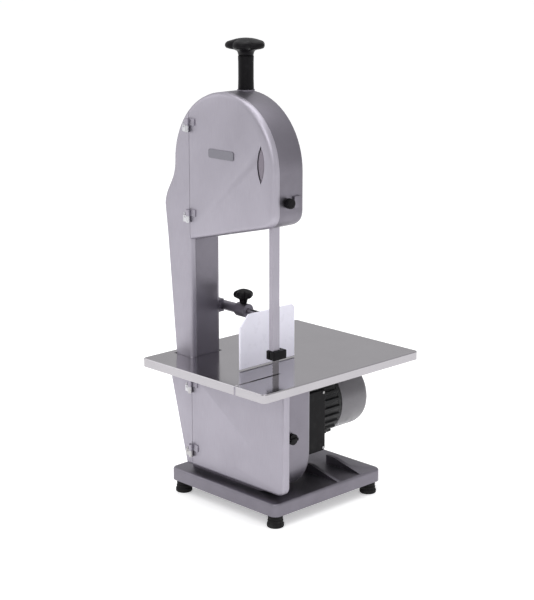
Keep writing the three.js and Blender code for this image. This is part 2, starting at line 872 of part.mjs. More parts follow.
/** Compression spring around the screw, inside the sleeve. */
function tensionSpring() {
  const turns = 7;
  const wire = 1.2;
  const bottom = sleeveBottomZ + wire + gap;
  const top = sleeveTopZ - wire - gap;
  class Helix extends THREE.Curve {
    getPoint(t, target = new THREE.Vector3()) {
      const angle = 2 * Math.PI * turns * t;
      const height = bottom + (top - bottom) * t;
      return target.set(springRadius * Math.cos(angle), springRadius * Math.sin(angle), height);
    }
  }
  const section = new THREE.Shape();
  section.absarc(0, 0, wire, 0, 2 * Math.PI);
  return new THREE.ExtrudeGeometry(section, {
    steps: turns * 10,
    extrudePath: new Helix(),
    bevelEnabled: false,
    curveSegments: 3,
  });
}

/** Star knob with a domed top and a blind bore for the screw. */
function starKnob(radius, height, boreRadius, boreDepth, turn, pointsPerLobe = 10) {
  const lobeDepth = radius * 0.24;
  const outline = lobed(radius, knobLobes, lobeDepth, turn, pointsPerLobe);
  const head = alongZ(outline, height * 0.3, height * 0.86, height * 0.16, 2);
  const dome = turnedZ(
    [
      [0, height * 0.7],
      [radius * 0.66, height * 0.7],
      [radius * 0.62, height * 0.88],
      [radius * 0.4, height * 0.97],
      [0, height],
    ],
    20,
  );
  const skirt = turnedZ(
    [
      [0, 0],
      [radius * 0.36, 0],
      [radius * 0.4, height * 0.2],
      [radius * 0.6, height * 0.42],
      [0, height * 0.42],
    ],
    20,
  );
  return carve(join(head, dome, skirt), rodZ(0, 0, boreRadius, -1, boreDepth, 20));
}

/* ------------------------------------------------------------------ motor and drive, turned about the motor's axis */

const shaftBoltRadius = 5;
const shaftBoltDepth = 22;
const shaftFrontY = wheelFrontY - 1;
const rotorInset = 18;
const fanFrontY = cowlFrontY + 8;
const fanDepth = 22;
const fanRadius = 52;

/** Shaft with the rotor on it; the lower wheel is on its front end and the fan on its rear end. */
function motorShaft() {
  const rear = fanFrontY + fanDepth + 3;
  const turned = turnedY(
    [
      [0, shaftFrontY],
      [shaftRadius - 1, shaftFrontY],
      [shaftRadius, shaftFrontY + 1],
      [shaftRadius, bodyFrontY + rotorInset],
      [rotorRadius, bodyFrontY + rotorInset],
      [rotorRadius, bodyRearY - rotorInset],
      [shaftRadius, bodyRearY - rotorInset],
      [shaftRadius, rear],
      [0, rear],
    ],
    32,
  );
  return carve(turned, rodY(0, 0, shaftBoltRadius + gap, shaftFrontY - 1, shaftFrontY + shaftBoltDepth + 1, 20));
}

/** Bolt and washer that hold the lower wheel on the shaft. */
function wheelBolt() {
  const seat = shaftFrontY - gap;
  const washer = rodY(0, 0, hubRadius - 3, seat - 3, seat, 36);
  const head = new THREE.CylinderGeometry(10, 10, 6, 6);
  head.translate(0, seat - 6, 0);
  const shank = rodY(0, 0, shaftBoltRadius, seat - 3.5, shaftFrontY + shaftBoltDepth, 20);
  return join(washer, head, shank);
}

function motorFlange() {
  const rear = motorFrontY + motorFlangeDepth;
  const disc = turnedY(
    [
      [bearingOuterRadius + gap, motorFrontY],
      [motorFlangeRadius, motorFrontY],
      [motorFlangeRadius, rear - 2],
      [motorFlangeRadius - 2, rear],
      [bearingOuterRadius + gap, rear],
      [bearingOuterRadius + gap, motorFrontY],
    ],
    48,
  );
  const boltRadius = 4.3;
  const boltCircle = motorFlangeRadius - 8;
  const holes = [0, 1, 2, 3].map((i) => {
    const angle = Math.PI / 4 + (i * Math.PI) / 2;
    return rodY(boltCircle * Math.cos(angle), boltCircle * Math.sin(angle), boltRadius, motorFrontY - 1, rear + 1, 16);
  });
  return carve(disc, ...holes);
}

/** Stator housing: a tube with fins along it. */
function motorBody() {
  const shape = new THREE.Shape();
  const root = motorRadius - finDepth;
  for (let i = 0; i < finCount; i++) {
    const pitch = (2 * Math.PI) / finCount;
    const start = i * pitch;
    const corners = [
      [root, start - 0.28 * pitch],
      [motorRadius, start - 0.16 * pitch],
      [motorRadius, start + 0.16 * pitch],
      [root, start + 0.28 * pitch],
    ];
    corners.forEach(([r, angle], corner) => {
      const x = r * Math.cos(angle);
      const z = r * Math.sin(angle);
      if (i === 0 && corner === 0) shape.moveTo(x, z);
      else shape.lineTo(x, z);
    });
  }
  shape.closePath();
  const bore = new THREE.Path();
  bore.absarc(0, 0, rotorRadius + slideGap, 0, 2 * Math.PI);
  shape.holes.push(bore);
  return alongY(shape, bodyFrontY, bodyRearY, 0, 1, 16);
}

function endShield() {
  const outer = motorRadius - finDepth;
  const bore = shaftRadius + gap;
  return turnedY(
    [
      [bore, shieldFrontY],
      [outer, shieldFrontY],
      [outer, shieldRearY - 3],
      [outer - 3, shieldRearY],
      [bore, shieldRearY],
      [bore, shieldFrontY],
    ],
    48,
  );
}

function coolingFan() {
  const hub = ring(shaftRadius + gap / 2, shaftRadius + 8, fanFrontY, fanFrontY + fanDepth, 32);
  const backPlate = ring(shaftRadius + gap / 2, fanRadius, fanFrontY, fanFrontY + 2.5, 40);
  const bladeCount = 8;
  const blades = [];
  for (let i = 0; i < bladeCount; i++) {
    const inner = shaftRadius + 6;
    const blade = block(inner, fanRadius - 1, fanFrontY + 1, fanFrontY + fanDepth, -1.2, 1.2);
    blade.rotateY((2 * Math.PI * i) / bladeCount);
    blades.push(blade);
  }
  return join(hub, backPlate, ...blades);
}

/** Cup over the fan, with slots in its rear face. */
function fanCowl() {
  const inner = cowlRadius - cowlWall;
  const rounding = 12;
  const steps = 3;
  const profile = [[inner, cowlFrontY], [cowlRadius, cowlFrontY]];
  for (let i = 0; i <= steps; i++) {
    const angle = (i * Math.PI) / 2 / steps;
    profile.push([
      cowlRadius - rounding + rounding * Math.cos(angle),
      cowlRearY - rounding + rounding * Math.sin(angle),
    ]);
  }
  profile.push([0, cowlRearY], [0, cowlRearY - cowlWall]);
  for (let i = steps; i >= 0; i--) {
    const angle = (i * Math.PI) / 2 / steps;
    const r = rounding - cowlWall;
    profile.push([cowlRadius - rounding + r * Math.cos(angle), cowlRearY - rounding + r * Math.sin(angle)]);
  }
  profile.push([inner, cowlFrontY]);
  const slotCount = 16;
  const slots = [];
  for (let i = 0; i < slotCount; i++) {
    const slot = block(18, cowlRadius - rounding - 4, cowlRearY - 8, cowlRearY + 4, -2, 2);
    slot.rotateY((2 * Math.PI * i) / slotCount);
    slots.push(slot);
  }
  return carve(turnedY(profile, 40), ...slots);
}

const boxOuterX = wheelX + motorRadius + 27;
const boxInnerX = wheelX + motorRadius - 12;
const boxFrontY = bodyFrontY + 4;
const boxRearY = boxFrontY + 62;
const boxBottomZ = lowerWheelZ - 60;
const boxTopZ = lowerWheelZ + 58;
const boxCorner = 6;
const boxWall = 3;
const lidThickness = 4;
const glandZ = lowerWheelZ - 28;
const glandX = boxOuterX - 13;
const glandRadius = 8;
const glandBore = 4;

/** Open box on the side of the motor for its capacitor and terminals, saddled over the fins. */
function capacitorBox() {
  const outline = roundedRectangle(boxFrontY, boxRearY, boxBottomZ, boxTopZ, boxCorner);
  const hollowOutline = roundedRectangle(
    boxFrontY + boxWall,
    boxRearY - boxWall,
    boxBottomZ + boxWall,
    boxTopZ - boxWall,
    boxCorner - boxWall,
  );
  const outer = alongX(outline, boxInnerX, boxOuterX);
  const motorRoom = rodY(wheelX, lowerWheelZ, motorRadius + gap, boxFrontY - 10, boxRearY + 10, 64);
  const hollow = alongX(hollowOutline, wheelX + motorRadius + gap + boxWall, boxOuterX + 5);
  const glandHole = rodY(glandX, glandZ, glandRadius - 2 + gap, boxRearY - boxWall - 2, boxRearY + 2, 24);
  return carve(outer, motorRoom, hollow, glandHole);
}

function capacitorLid() {
  const outline = roundedRectangle(boxFrontY, boxRearY, boxBottomZ, boxTopZ, boxCorner);
  return alongX(outline, boxOuterX + gap, boxOuterX + gap + lidThickness, 1.5);
}

/** Hollow gland at the box's rear, where the mains cord goes in. */
function cableGland() {
  const start = boxRearY - boxWall;
  const turned = turnedY([
    [glandBore, start],
    [glandRadius - 2, start],
    [glandRadius - 2, boxRearY + gap],
    [glandRadius + 2, boxRearY + gap],
    [glandRadius + 2, boxRearY + 7],
    [glandRadius, boxRearY + 8],
    [glandRadius - 1, boxRearY + 15],
    [glandRadius - 3, boxRearY + 18],
    [glandBore, boxRearY + 18],
    [glandBore, start],
  ]);
  turned.translate(glandX, 0, glandZ);
  return turned;
}

/* ------------------------------------------------------------------ blade guard and guides */

const guideBottomZ = tableTopZ + guideAboveTable;
const guideTopZ = guideBottomZ + guideHeight;
const guardTopZ = headFloorAt(guardRightX) + guardBarTopAboveFloor;
const guideFrontY = guardFrontY - 3;
const guideRearY = bandRearY + 8;
const bandSlot = 0.8;

/** Angle bar in front of the teeth and beside the band. */
function bladeGuard() {
  const section = new THREE.Shape();
  section.moveTo(guardRightX - guardWidth, guardFrontY);
  section.lineTo(guardRightX, guardFrontY);
  section.lineTo(guardRightX, guardFrontY + guardDepth);
  section.lineTo(guardRightX - guardWall, guardFrontY + guardDepth);
  section.lineTo(guardRightX - guardWall, guardFrontY + guardWall);
  section.lineTo(guardRightX - guardWidth, guardFrontY + guardWall);
  section.closePath();
  return alongZ(section, guideTopZ + gap, guardTopZ);
}

/** Slotted block that steadies the band at the lower end of the guard. */
function upperGuide() {
  const left = guardRightX - guardWidth - 5;
  const outline = roundedRectangle(left, guardRightX + 6, guideFrontY, guideRearY, 2.5);
  const slot = block(
    bandX - bandSlot,
    bandX + bandThickness + bandSlot,
    guideFrontY - 1,
    bandRearY + gap,
    guideBottomZ - 1,
    guideTopZ + 1,
  );
  return carve(alongZ(outline, guideBottomZ, guideTopZ, 1), slot);
}

const bracketHalf = 12;
const bracketRightX = headRightX - wall - gap;

/** Block inside the head that the guard bar slides in. */
function guardBracket() {
  const z0 = guardKnobZ - bracketHalf;
  const z1 = guardKnobZ + bracketHalf;
  const y0 = guardFrontY - 5;
  const y1 = guardFrontY + guardDepth + 5;
  const right = block(guardRightX + slideGap, bracketRightX, y0, y1, z0, z1);
  const front = block(guardRightX - guardWidth, bracketRightX, y0, guardFrontY - slideGap, z0, z1);
  const rear = block(
    guardRightX - guardWall - 1,
    bracketRightX,
    guardFrontY + guardDepth + slideGap,
    y1,
    z0,
    z1,
  );
  const screwBore = rodX(guardKnobY, guardKnobZ, 4 + gap, guardRightX - 1, bracketRightX + 5, 20);
  return carve(join(right, front, rear), screwBore);
}

/** Small knob on the head's right wall whose screw locks the guard bar. */
function guardLockKnob() {
  const wallFace = headRightX + gap;
  const knob = new THREE.LatheGeometry(
    [
      [0, 0],
      [guardKnobRadius - 3, 0],
      [guardKnobRadius, 3],
      [guardKnobRadius, 12],
      [guardKnobRadius - 2, 14],
      [0, 14.5],
    ].map(([r, h]) => new THREE.Vector2(r, h)),
    24,
  );
  knob.rotateZ(-Math.PI / 2);
  knob.translate(wallFace, guardKnobY, guardKnobZ);
  const screw = rodX(guardKnobY, guardKnobZ, 4, guardRightX + slideGap + gap, wallFace + 2, 20);
  return join(knob, screw);
}

/** Slotted block under the table, on the housing's rear wall. */
function lowerGuide() {
  const top = tableTopZ - tableSheet - 10;
  const body = block(bandX - 7, bandX + 9, bandFrontY - 4, housingRearY - housingWall - gap, top - 14, top);
  const slot = block(
    bandX - bandSlot,
    bandX + bandThickness + bandSlot,
    bandFrontY - 6,
    bandRearY + gap,
    top - 20,
    top + 5,
  );
  return carve(body, slot);
}

/** Scraper that keeps the lower wheel's rim clean, on an arm from the housing's rear wall. */
function wheelScraper() {
  const reach = flangeRadius + 2;
  const rear = housingRearY - housingWall - gap;
  const blade = block(reach, reach + 12, wheelFrontY, rear, -4, 4);
  blade.rotateY(-(3 * Math.PI) / 4);
  blade.translate(wheelX, 0, lowerWheelZ);
  return blade;
}

/* ------------------------------------------------------------------ table and gauge */

/** Sheet table with its edges folded down, a notch for the column and a slot that lets the band out. */
function table() {
  const front = -tableDepth / 2;
  const rear = tableDepth / 2;
  const outline = roundedRectangle(tableLeftX, tableRightX, front, rear, tableCornerRadius);
  const innerOutline = roundedRectangle(
    tableLeftX + tableSheet,
    tableRightX - tableSheet,
    front + tableSheet,
    rear - tableSheet,
    tableCornerRadius - tableSheet,
  );
  const outer = keepAbove(alongZ(outline, tableTopZ - tableLip - 8, tableTopZ, 1.6), tableTopZ - tableLip);
  const under = alongZ(innerOutline, tableTopZ - tableLip - 5, tableTopZ - tableSheet);
  const notch = block(
    columnLeftAt(tableTopZ) - 2 * slideGap,
    throatX + 2 * slideGap,
    frontY - 2 * slideGap,
    rearY + 2 * slideGap,
    tableTopZ - 10,
    tableTopZ + 5,
  );
  const slotMiddle = bandX + bandThickness / 2;
  const slot = block(
    slotMiddle - bladeSlotWidth / 2,
    slotMiddle + bladeSlotWidth / 2,
    front - 5,
    bandRearY + 4,
    tableTopZ - tableLip - 5,
    tableTopZ + 5,
  );
  return carve(outer, under, notch, slot);
}

const supportHeight = 12;
const supportWidth = 28;
const supportLength = 190;

/** Bar under the table, from the housing's rear face. */
function tableSupport(x0) {
  const top = tableTopZ - tableSheet - gap;
  const y0 = housingRearY + gap;
  return block(x0, x0 + supportWidth, y0, y0 + supportLength, top - supportHeight, top);
}

const gaugeArmEndX = throatX + gaugeArmReach;
const gaugeKnobX = gaugeArmEndX - 13;
const gaugeClampRadius = 13;
const gaugeKnobRadius = 19;
const gaugeKnobHeight = 26;
const gaugeKnobBottomZ = gaugeRodZ + gaugeClampRadius + gap;

/** Arm behind the column: a tube for the rod, a pad on the column and a clamp for the lock screw. */
function gaugeBracket() {
  const startX = columnLeftAt(gaugeRodZ) + 6;
  const arm = rodX(gaugeRodY, gaugeRodZ, gaugeArmRadius, startX, gaugeArmEndX - 5, 28);
  const clamp = rodX(gaugeRodY, gaugeRodZ, gaugeClampRadius, gaugeArmEndX - 26, gaugeArmEndX, 28);
  const pad = block(startX + 2, throatX - 6, rearY + gap, gaugeRodY, gaugeRodZ - 12, gaugeRodZ + 12);
  const bore = rodX(gaugeRodY, gaugeRodZ, gaugeRodRadius + slideGap, startX - 5, gaugeArmEndX + 5, 28);
  const screwBore = rodZ(gaugeKnobX, gaugeRodY, 3 + gap, gaugeRodZ, gaugeKnobBottomZ + 10, 20);
  return carve(join(arm, clamp, pad), bore, screwBore);
}

const gaugeRodEndX = gaugePlateX - gap;

function gaugeRod() {
  return rodX(gaugeRodY, gaugeRodZ, gaugeRodRadius, columnLeftAt(gaugeRodZ) - 2, gaugeRodEndX, 28);
}

/** Plate that the meat is held against, with the front upper corner cut off and a socket for the rod. */
function gaugePlate() {
  const bottom = tableTopZ + 2;
  const top = bottom + gaugePlateHeight;
  const rear = gaugePlateFront + gaugePlateLength;
  const outline = new THREE.Shape();
  outline.moveTo(gaugePlateFront, bottom);
  outline.lineTo(rear, bottom);
  outline.lineTo(rear, top - 6);
  outline.lineTo(rear - 6, top);
  outline.lineTo(gaugePlateFront + gaugeChamfer, top);
  outline.lineTo(gaugePlateFront, top - gaugeChamfer);
  outline.closePath();
  const plate = alongX(outline, gaugePlateX, gaugePlateX + gaugePlateThickness, 0.8);
  const socket = rodX(gaugeRodY, gaugeRodZ, gaugeRodRadius + 4, gaugePlateX - 10, gaugePlateX + 1, 28);
  const bore = rodX(gaugeRodY, gaugeRodZ, gaugeRodRadius + gap, gaugePlateX - 15, gaugePlateX, 28);
  return carve(join(plate, socket), bore);
}

/** Star knob on the clamp; its screw ends just above the rod. */
function gaugeLockKnob() {
  const knob = starKnob(gaugeKnobRadius, gaugeKnobHeight, 1, 2, 0, 6);
  knob.translate(gaugeKnobX, gaugeRodY, gaugeKnobBottomZ);
  const screw = rodZ(gaugeKnobX, gaugeRodY, 3, gaugeRodZ + gaugeRodRadius + gap, gaugeKnobBottomZ + 6, 20);
  return join(knob, screw);
}

/* ------------------------------------------------------------------ switches */

const switchBottomZ = tableTopZ + 18;
const switchTopZ = switchBottomZ + switchBoxHeight;
const switchFaceX = columnLeftAt(switchTopZ) - gap - switchBoxDepth;
const switchMidY = (frontY + rearY) / 2 + 14;
const buttonBore = buttonRadius + slideGap;
const buttonDepth = 5;
const buttonPlaces = { start: switchTopZ - 16, stop: switchBottomZ + 16 };

/** Box on the column's outer side, with two round wells for the buttons. */
function switchBox() {
  const outline = roundedRectangle(
    switchMidY - switchBoxWidth / 2,
    switchMidY + switchBoxWidth / 2,
    switchBottomZ,
    switchTopZ,
    5,
  );
  const body = alongX(outline, switchFaceX, throatX - columnWidth / 2);
  const columnRoom = alongY(frameOutline(-gap, columnFootZ - 20), frontY - 20, rearY + 20);
  const wells = Object.values(buttonPlaces).map((z) =>
    rodX(switchMidY, z, buttonBore, switchFaceX - 1, switchFaceX + buttonDepth, 28),
  );
  return carve(body, columnRoom, ...wells);
}

function button(z) {
  const cap = new THREE.LatheGeometry(
    [
      [0, 0],
      [buttonRadius, 0],
      [buttonRadius, buttonHeight + 0.2],
      [buttonRadius - 0.8, buttonHeight + 1],
      [0, buttonHeight + 1],
    ].map(([r, h]) => new THREE.Vector2(r, h)),
    28,
  );
  cap.rotateZ(Math.PI / 2);
  cap.translate(switchFaceX + buttonDepth - buttonTravelRoom, switchMidY, z);
  return cap;
}

/* ------------------------------------------------------------------ assembly */

const finishes = {
  castAluminium: { color: 0xa9a7ad, roughness: 0.42, metalness: 0.85 },
  anodised: { color: 0xb2b0b8, roughness: 0.34, metalness: 0.85 },
  stainless: { color: 0xc9c6ca, roughness: 0.18, metalness: 1.0 },
  steel: { color: 0x9a9a9e, roughness: 0.35, metalness: 1.0 },
  castIron: { color: 0x6f7174, roughness: 0.55, metalness: 0.8 },
  motorPaint: { color: 0x17171a, roughness: 0.55, metalness: 0.1 },
  cowlPaint: { color: 0xa3a0a0, roughness: 0.45, metalness: 0.5 },
  blackPlastic: { color: 0x111013, roughness: 0.45, metalness: 0.0 },
  rubber: { color: 0x1a1819, roughness: 0.85, metalness: 0.0 },
  whitePlastic: { color: 0xd8d6e2, roughness: 0.4, metalness: 0.0 },
  greenPlastic: { color: 0x1d8a44, roughness: 0.4, metalness: 0.0 },
  redPlastic: { color: 0xb01c1c, roughness: 0.4, metalness: 0.0 },
};

const boneSaw = new THREE.Group();

function place(parent, name, geometry, finish) {
  const mesh = new THREE.Mesh(geometry, new THREE.MeshStandardMaterial(finishes[finish]));
  mesh.name = name;
  parent.add(mesh);
  return mesh;
}

/** A group whose own Y axis is the axle line at the given height. */
function axleGroup(z) {
  const group = new THREE.Group();
  group.position.set(wheelX, 0, z);
  boneSaw.add(group);
  return group;
}

/** A group whose own Z axis is the tension screw's axis. */
function screwGroup() {
  const group = new THREE.Group();
  group.position.set(wheelX, screwY, 0);
  boneSaw.add(group);
  return group;
}

place(boneSaw, 'base_plate', basePlate(), 'castAluminium');
for (const [name, x, y] of footPlaces) {
  place(boneSaw, name, foot(), 'rubber').position.set(x, y, 0);
}
place(boneSaw, 'lower_housing', lowerHousing(), 'castAluminium');
place(boneSaw, 'column', column(), 'castAluminium');
place(boneSaw, 'head_casting', headCasting(), 'castAluminium');
place(boneSaw, 'column_cover', columnCover(), 'anodised');
place(boneSaw, 'lower_side_cover', lowerSideCover(), 'anodised');
place(boneSaw, 'upper_door', upperDoor(), 'anodised');
place(boneSaw, 'upper_door_latch', upperDoorLatch(), 'blackPlastic');
place(boneSaw, 'upper_door_badge', badge(), 'steel');
place(boneSaw, 'lower_door', lowerDoor(), 'anodised');
place(boneSaw, 'lower_door_latch', lowerDoorLatch(), 'blackPlastic');
place(boneSaw, 'upper_hinge_bottom', fixedHinge(upperHingeHeights[0]), 'steel');
place(boneSaw, 'upper_hinge_top', fixedHinge(upperHingeHeights[1]), 'steel');
place(boneSaw, 'lower_hinge_bottom', fixedHinge(lowerHingeHeights[0]), 'steel');
place(boneSaw, 'lower_hinge_top', fixedHinge(lowerHingeHeights[1]), 'steel');

const upperAxis = axleGroup(upperWheelZ);
place(upperAxis, 'upper_wheel', wheel(upperBearingRadius + gap), 'castIron').position.y = wheelMidY;
const bearingBore = axleRadius + gap;
place(
  upperAxis,
  'upper_bearing_front',
  ring(bearingBore, upperBearingRadius, wheelFrontY, wheelFrontY + upperBearingWidth),
  'steel',
);
place(
  upperAxis,
  'upper_bearing_rear',
  ring(bearingBore, upperBearingRadius, wheelRearY - upperBearingWidth, wheelRearY),
  'steel',
);
place(upperAxis, 'upper_axle', upperAxle(), 'steel');
place(upperAxis, 'upper_axle_nut', hexNut(axleRadius + gap, 13, wheelFrontY - 7, wheelFrontY - gap), 'steel');
place(boneSaw, 'wheel_carriage', wheelCarriage(), 'castAluminium');
place(boneSaw, 'carriage_rail_left', carriageRail(-1), 'steel');
place(boneSaw, 'carriage_rail_right', carriageRail(1), 'steel');

const screwAxis = screwGroup();
place(screwAxis, 'tension_screw', tensionScrew(), 'steel');
place(screwAxis, 'tension_sleeve', tensionSleeve(), 'blackPlastic');
place(screwAxis, 'tension_spring', tensionSpring(), 'steel');
const tensionKnob = place(
  screwAxis,
  'tension_knob',
  starKnob(knobRadius, knobHeight, screwRadius + gap, 18 + gap, knobTurn),
  'blackPlastic',
);
tensionKnob.position.z = knobBottomZ;

const motorAxis = axleGroup(lowerWheelZ);
place(motorAxis, 'lower_wheel', wheel(shaftRadius + gap), 'castIron').position.y = wheelMidY;
place(motorAxis, 'lower_wheel_bolt', wheelBolt(), 'steel');
place(motorAxis, 'motor_shaft', motorShaft(), 'steel');
place(
  motorAxis,
  'motor_bearing',
  ring(shaftRadius + gap, bearingOuterRadius, motorFrontY + 0.5, motorFrontY + 0.5 + bearingWidth),
  'steel',
);
place(motorAxis, 'motor_flange', motorFlange(), 'motorPaint');
place(motorAxis, 'motor_body', motorBody(), 'motorPaint');
place(motorAxis, 'motor_end_shield', endShield(), 'motorPaint');
place(motorAxis, 'cooling_fan', coolingFan(), 'blackPlastic');
place(motorAxis, 'fan_cowl', fanCowl(), 'cowlPaint');
place(boneSaw, 'capacitor_box', capacitorBox(), 'blackPlastic');
place(boneSaw, 'capacitor_lid', capacitorLid(), 'blackPlastic');
place(boneSaw, 'cable_gland', cableGland(), 'blackPlastic');

place(boneSaw, 'saw_band', sawBand(), 'stainless');
place(boneSaw, 'blade_guard', bladeGuard(), 'anodised');
place(boneSaw, 'upper_guide', upperGuide(), 'blackPlastic');
place(boneSaw, 'guard_bracket', guardBracket(), 'castAluminium');
place(boneSaw, 'guard_lock_knob', guardLockKnob(), 'blackPlastic');
place(boneSaw, 'lower_guide', lowerGuide(), 'blackPlastic');
place(boneSaw, 'wheel_scraper', wheelScraper(), 'steel');

place(boneSaw, 'table', table(), 'stainless');
place(boneSaw, 'table_support_left', tableSupport(tableLeftX + supportInsetLeft), 'motorPaint');
place(boneSaw, 'table_support_right', tableSupport(tableRightX - supportInsetRight), 'motorPaint');
place(boneSaw, 'gauge_bracket', gaugeBracket(), 'castAluminium');
place(boneSaw, 'gauge_rod', gaugeRod(), 'stainless');
place(boneSaw, 'gauge_plate', gaugePlate(), 'whitePlastic');
place(boneSaw, 'gauge_lock_knob', gaugeLockKnob(), 'blackPlastic');

place(boneSaw, 'switch_box', switchBox(), 'blackPlastic');
place(boneSaw, 'start_button', button(buttonPlaces.start), 'greenPlastic');
place(boneSaw, 'stop_button', button(buttonPlaces.stop), 'redPlastic');

boneSaw.position.x = -planCentreX;

export default boneSaw;
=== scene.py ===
"""Tabletop bone saw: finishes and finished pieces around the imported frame.

Metres, +Z up, in the frame's own axes: +X from the column to the cutting strand, +Y from the doors to the motor.
Each sub-assembly is a class that builds its pieces from the frame's own boxes and dresses them.
"""

import json
import logging
import math
from dataclasses import dataclass
from enum import Enum

import bmesh
import bpy
import numpy as np
from mathutils import Matrix, Vector

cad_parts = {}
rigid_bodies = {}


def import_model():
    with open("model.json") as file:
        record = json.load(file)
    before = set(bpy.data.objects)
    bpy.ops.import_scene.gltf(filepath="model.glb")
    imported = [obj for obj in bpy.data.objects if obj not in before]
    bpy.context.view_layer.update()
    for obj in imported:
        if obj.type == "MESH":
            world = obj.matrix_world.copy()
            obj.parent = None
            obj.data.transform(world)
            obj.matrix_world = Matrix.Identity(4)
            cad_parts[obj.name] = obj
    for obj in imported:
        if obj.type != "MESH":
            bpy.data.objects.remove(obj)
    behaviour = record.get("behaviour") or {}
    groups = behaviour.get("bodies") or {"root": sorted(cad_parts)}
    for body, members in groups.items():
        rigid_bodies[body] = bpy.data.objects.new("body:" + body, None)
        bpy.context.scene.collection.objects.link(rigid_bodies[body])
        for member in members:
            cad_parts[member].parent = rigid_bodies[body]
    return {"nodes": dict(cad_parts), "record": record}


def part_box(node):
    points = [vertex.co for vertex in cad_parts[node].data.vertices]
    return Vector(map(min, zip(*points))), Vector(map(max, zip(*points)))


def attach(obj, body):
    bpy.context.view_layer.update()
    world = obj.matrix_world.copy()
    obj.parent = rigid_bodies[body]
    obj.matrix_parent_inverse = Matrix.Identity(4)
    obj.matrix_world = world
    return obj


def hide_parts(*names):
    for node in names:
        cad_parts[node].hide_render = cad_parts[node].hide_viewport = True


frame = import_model()

MM = 0.001
LOG = logging.getLogger("bone_saw")
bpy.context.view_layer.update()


# ---------------------------------------------------------------- shader maths


class Grain(Enum):
    """Direction in which a brushed or ground finish runs."""

    ALONG_X = (0.02, 1.0, 1.0)
    ALONG_Y = (1.0, 0.02, 1.0)
    ALONG_Z = (1.0, 1.0, 0.02)
    NONE = (1.0, 1.0, 1.0)


class Value:
    """A number in a material's node tree, usable in Python expressions."""

    def __init__(self, tree: "Tree", socket: bpy.types.NodeSocket) -> None:
        """Wraps one output socket.

        Args:
            tree: The tree that the socket belongs to.
            socket: An output socket that carries a number.
        """
        self.tree = tree
        self.socket = socket

    def _math(self, operation: str, *others: object) -> "Value":
        """Adds one Math node.

        Args:
            operation: Blender's name of the operation.
            others: The other operands, numbers or values, in order.

        Returns:
            The node's result.
        """
        return self.tree.math(operation, self, *others)

    def __add__(self, other: object) -> "Value":
        """Sum of this value and another.

        Args:
            other: A number or a value.

        Returns:
            The sum.
        """
        return self._math("ADD", other)

    __radd__ = __add__

    def __mul__(self, other: object) -> "Value":
        """Product of this value and another.

        Args:
            other: A number or a value.

        Returns:
            The product.
        """
        return self._math("MULTIPLY", other)

    __rmul__ = __mul__

    def __sub__(self, other: object) -> "Value":
        """Difference of this value and another.

        Args:
            other: A number or a value.

        Returns:
            The difference.
        """
        return self._math("SUBTRACT", other)

    def __truediv__(self, other: object) -> "Value":
        """Quotient of this value and another.

        Args:
            other: A number or a value.

        Returns:
            The quotient.
        """
        return self._math("DIVIDE", other)

    def step(self, low: float, high: float) -> "Value":
        """Smooth step from 0 at low to 1 at high.

        Args:
            low: Value where the step starts.
            high: Value where it ends.

        Returns:
            The stepped value.
        """
        node = self.tree.node(
            "ShaderNodeMapRange",
            {"interpolation_type": "SMOOTHSTEP"},
            {"Value": self, "From Min": low, "From Max": high, "To Min": 0.0, "To Max": 1.0},
        )
        return Value(self.tree, node.outputs[0])


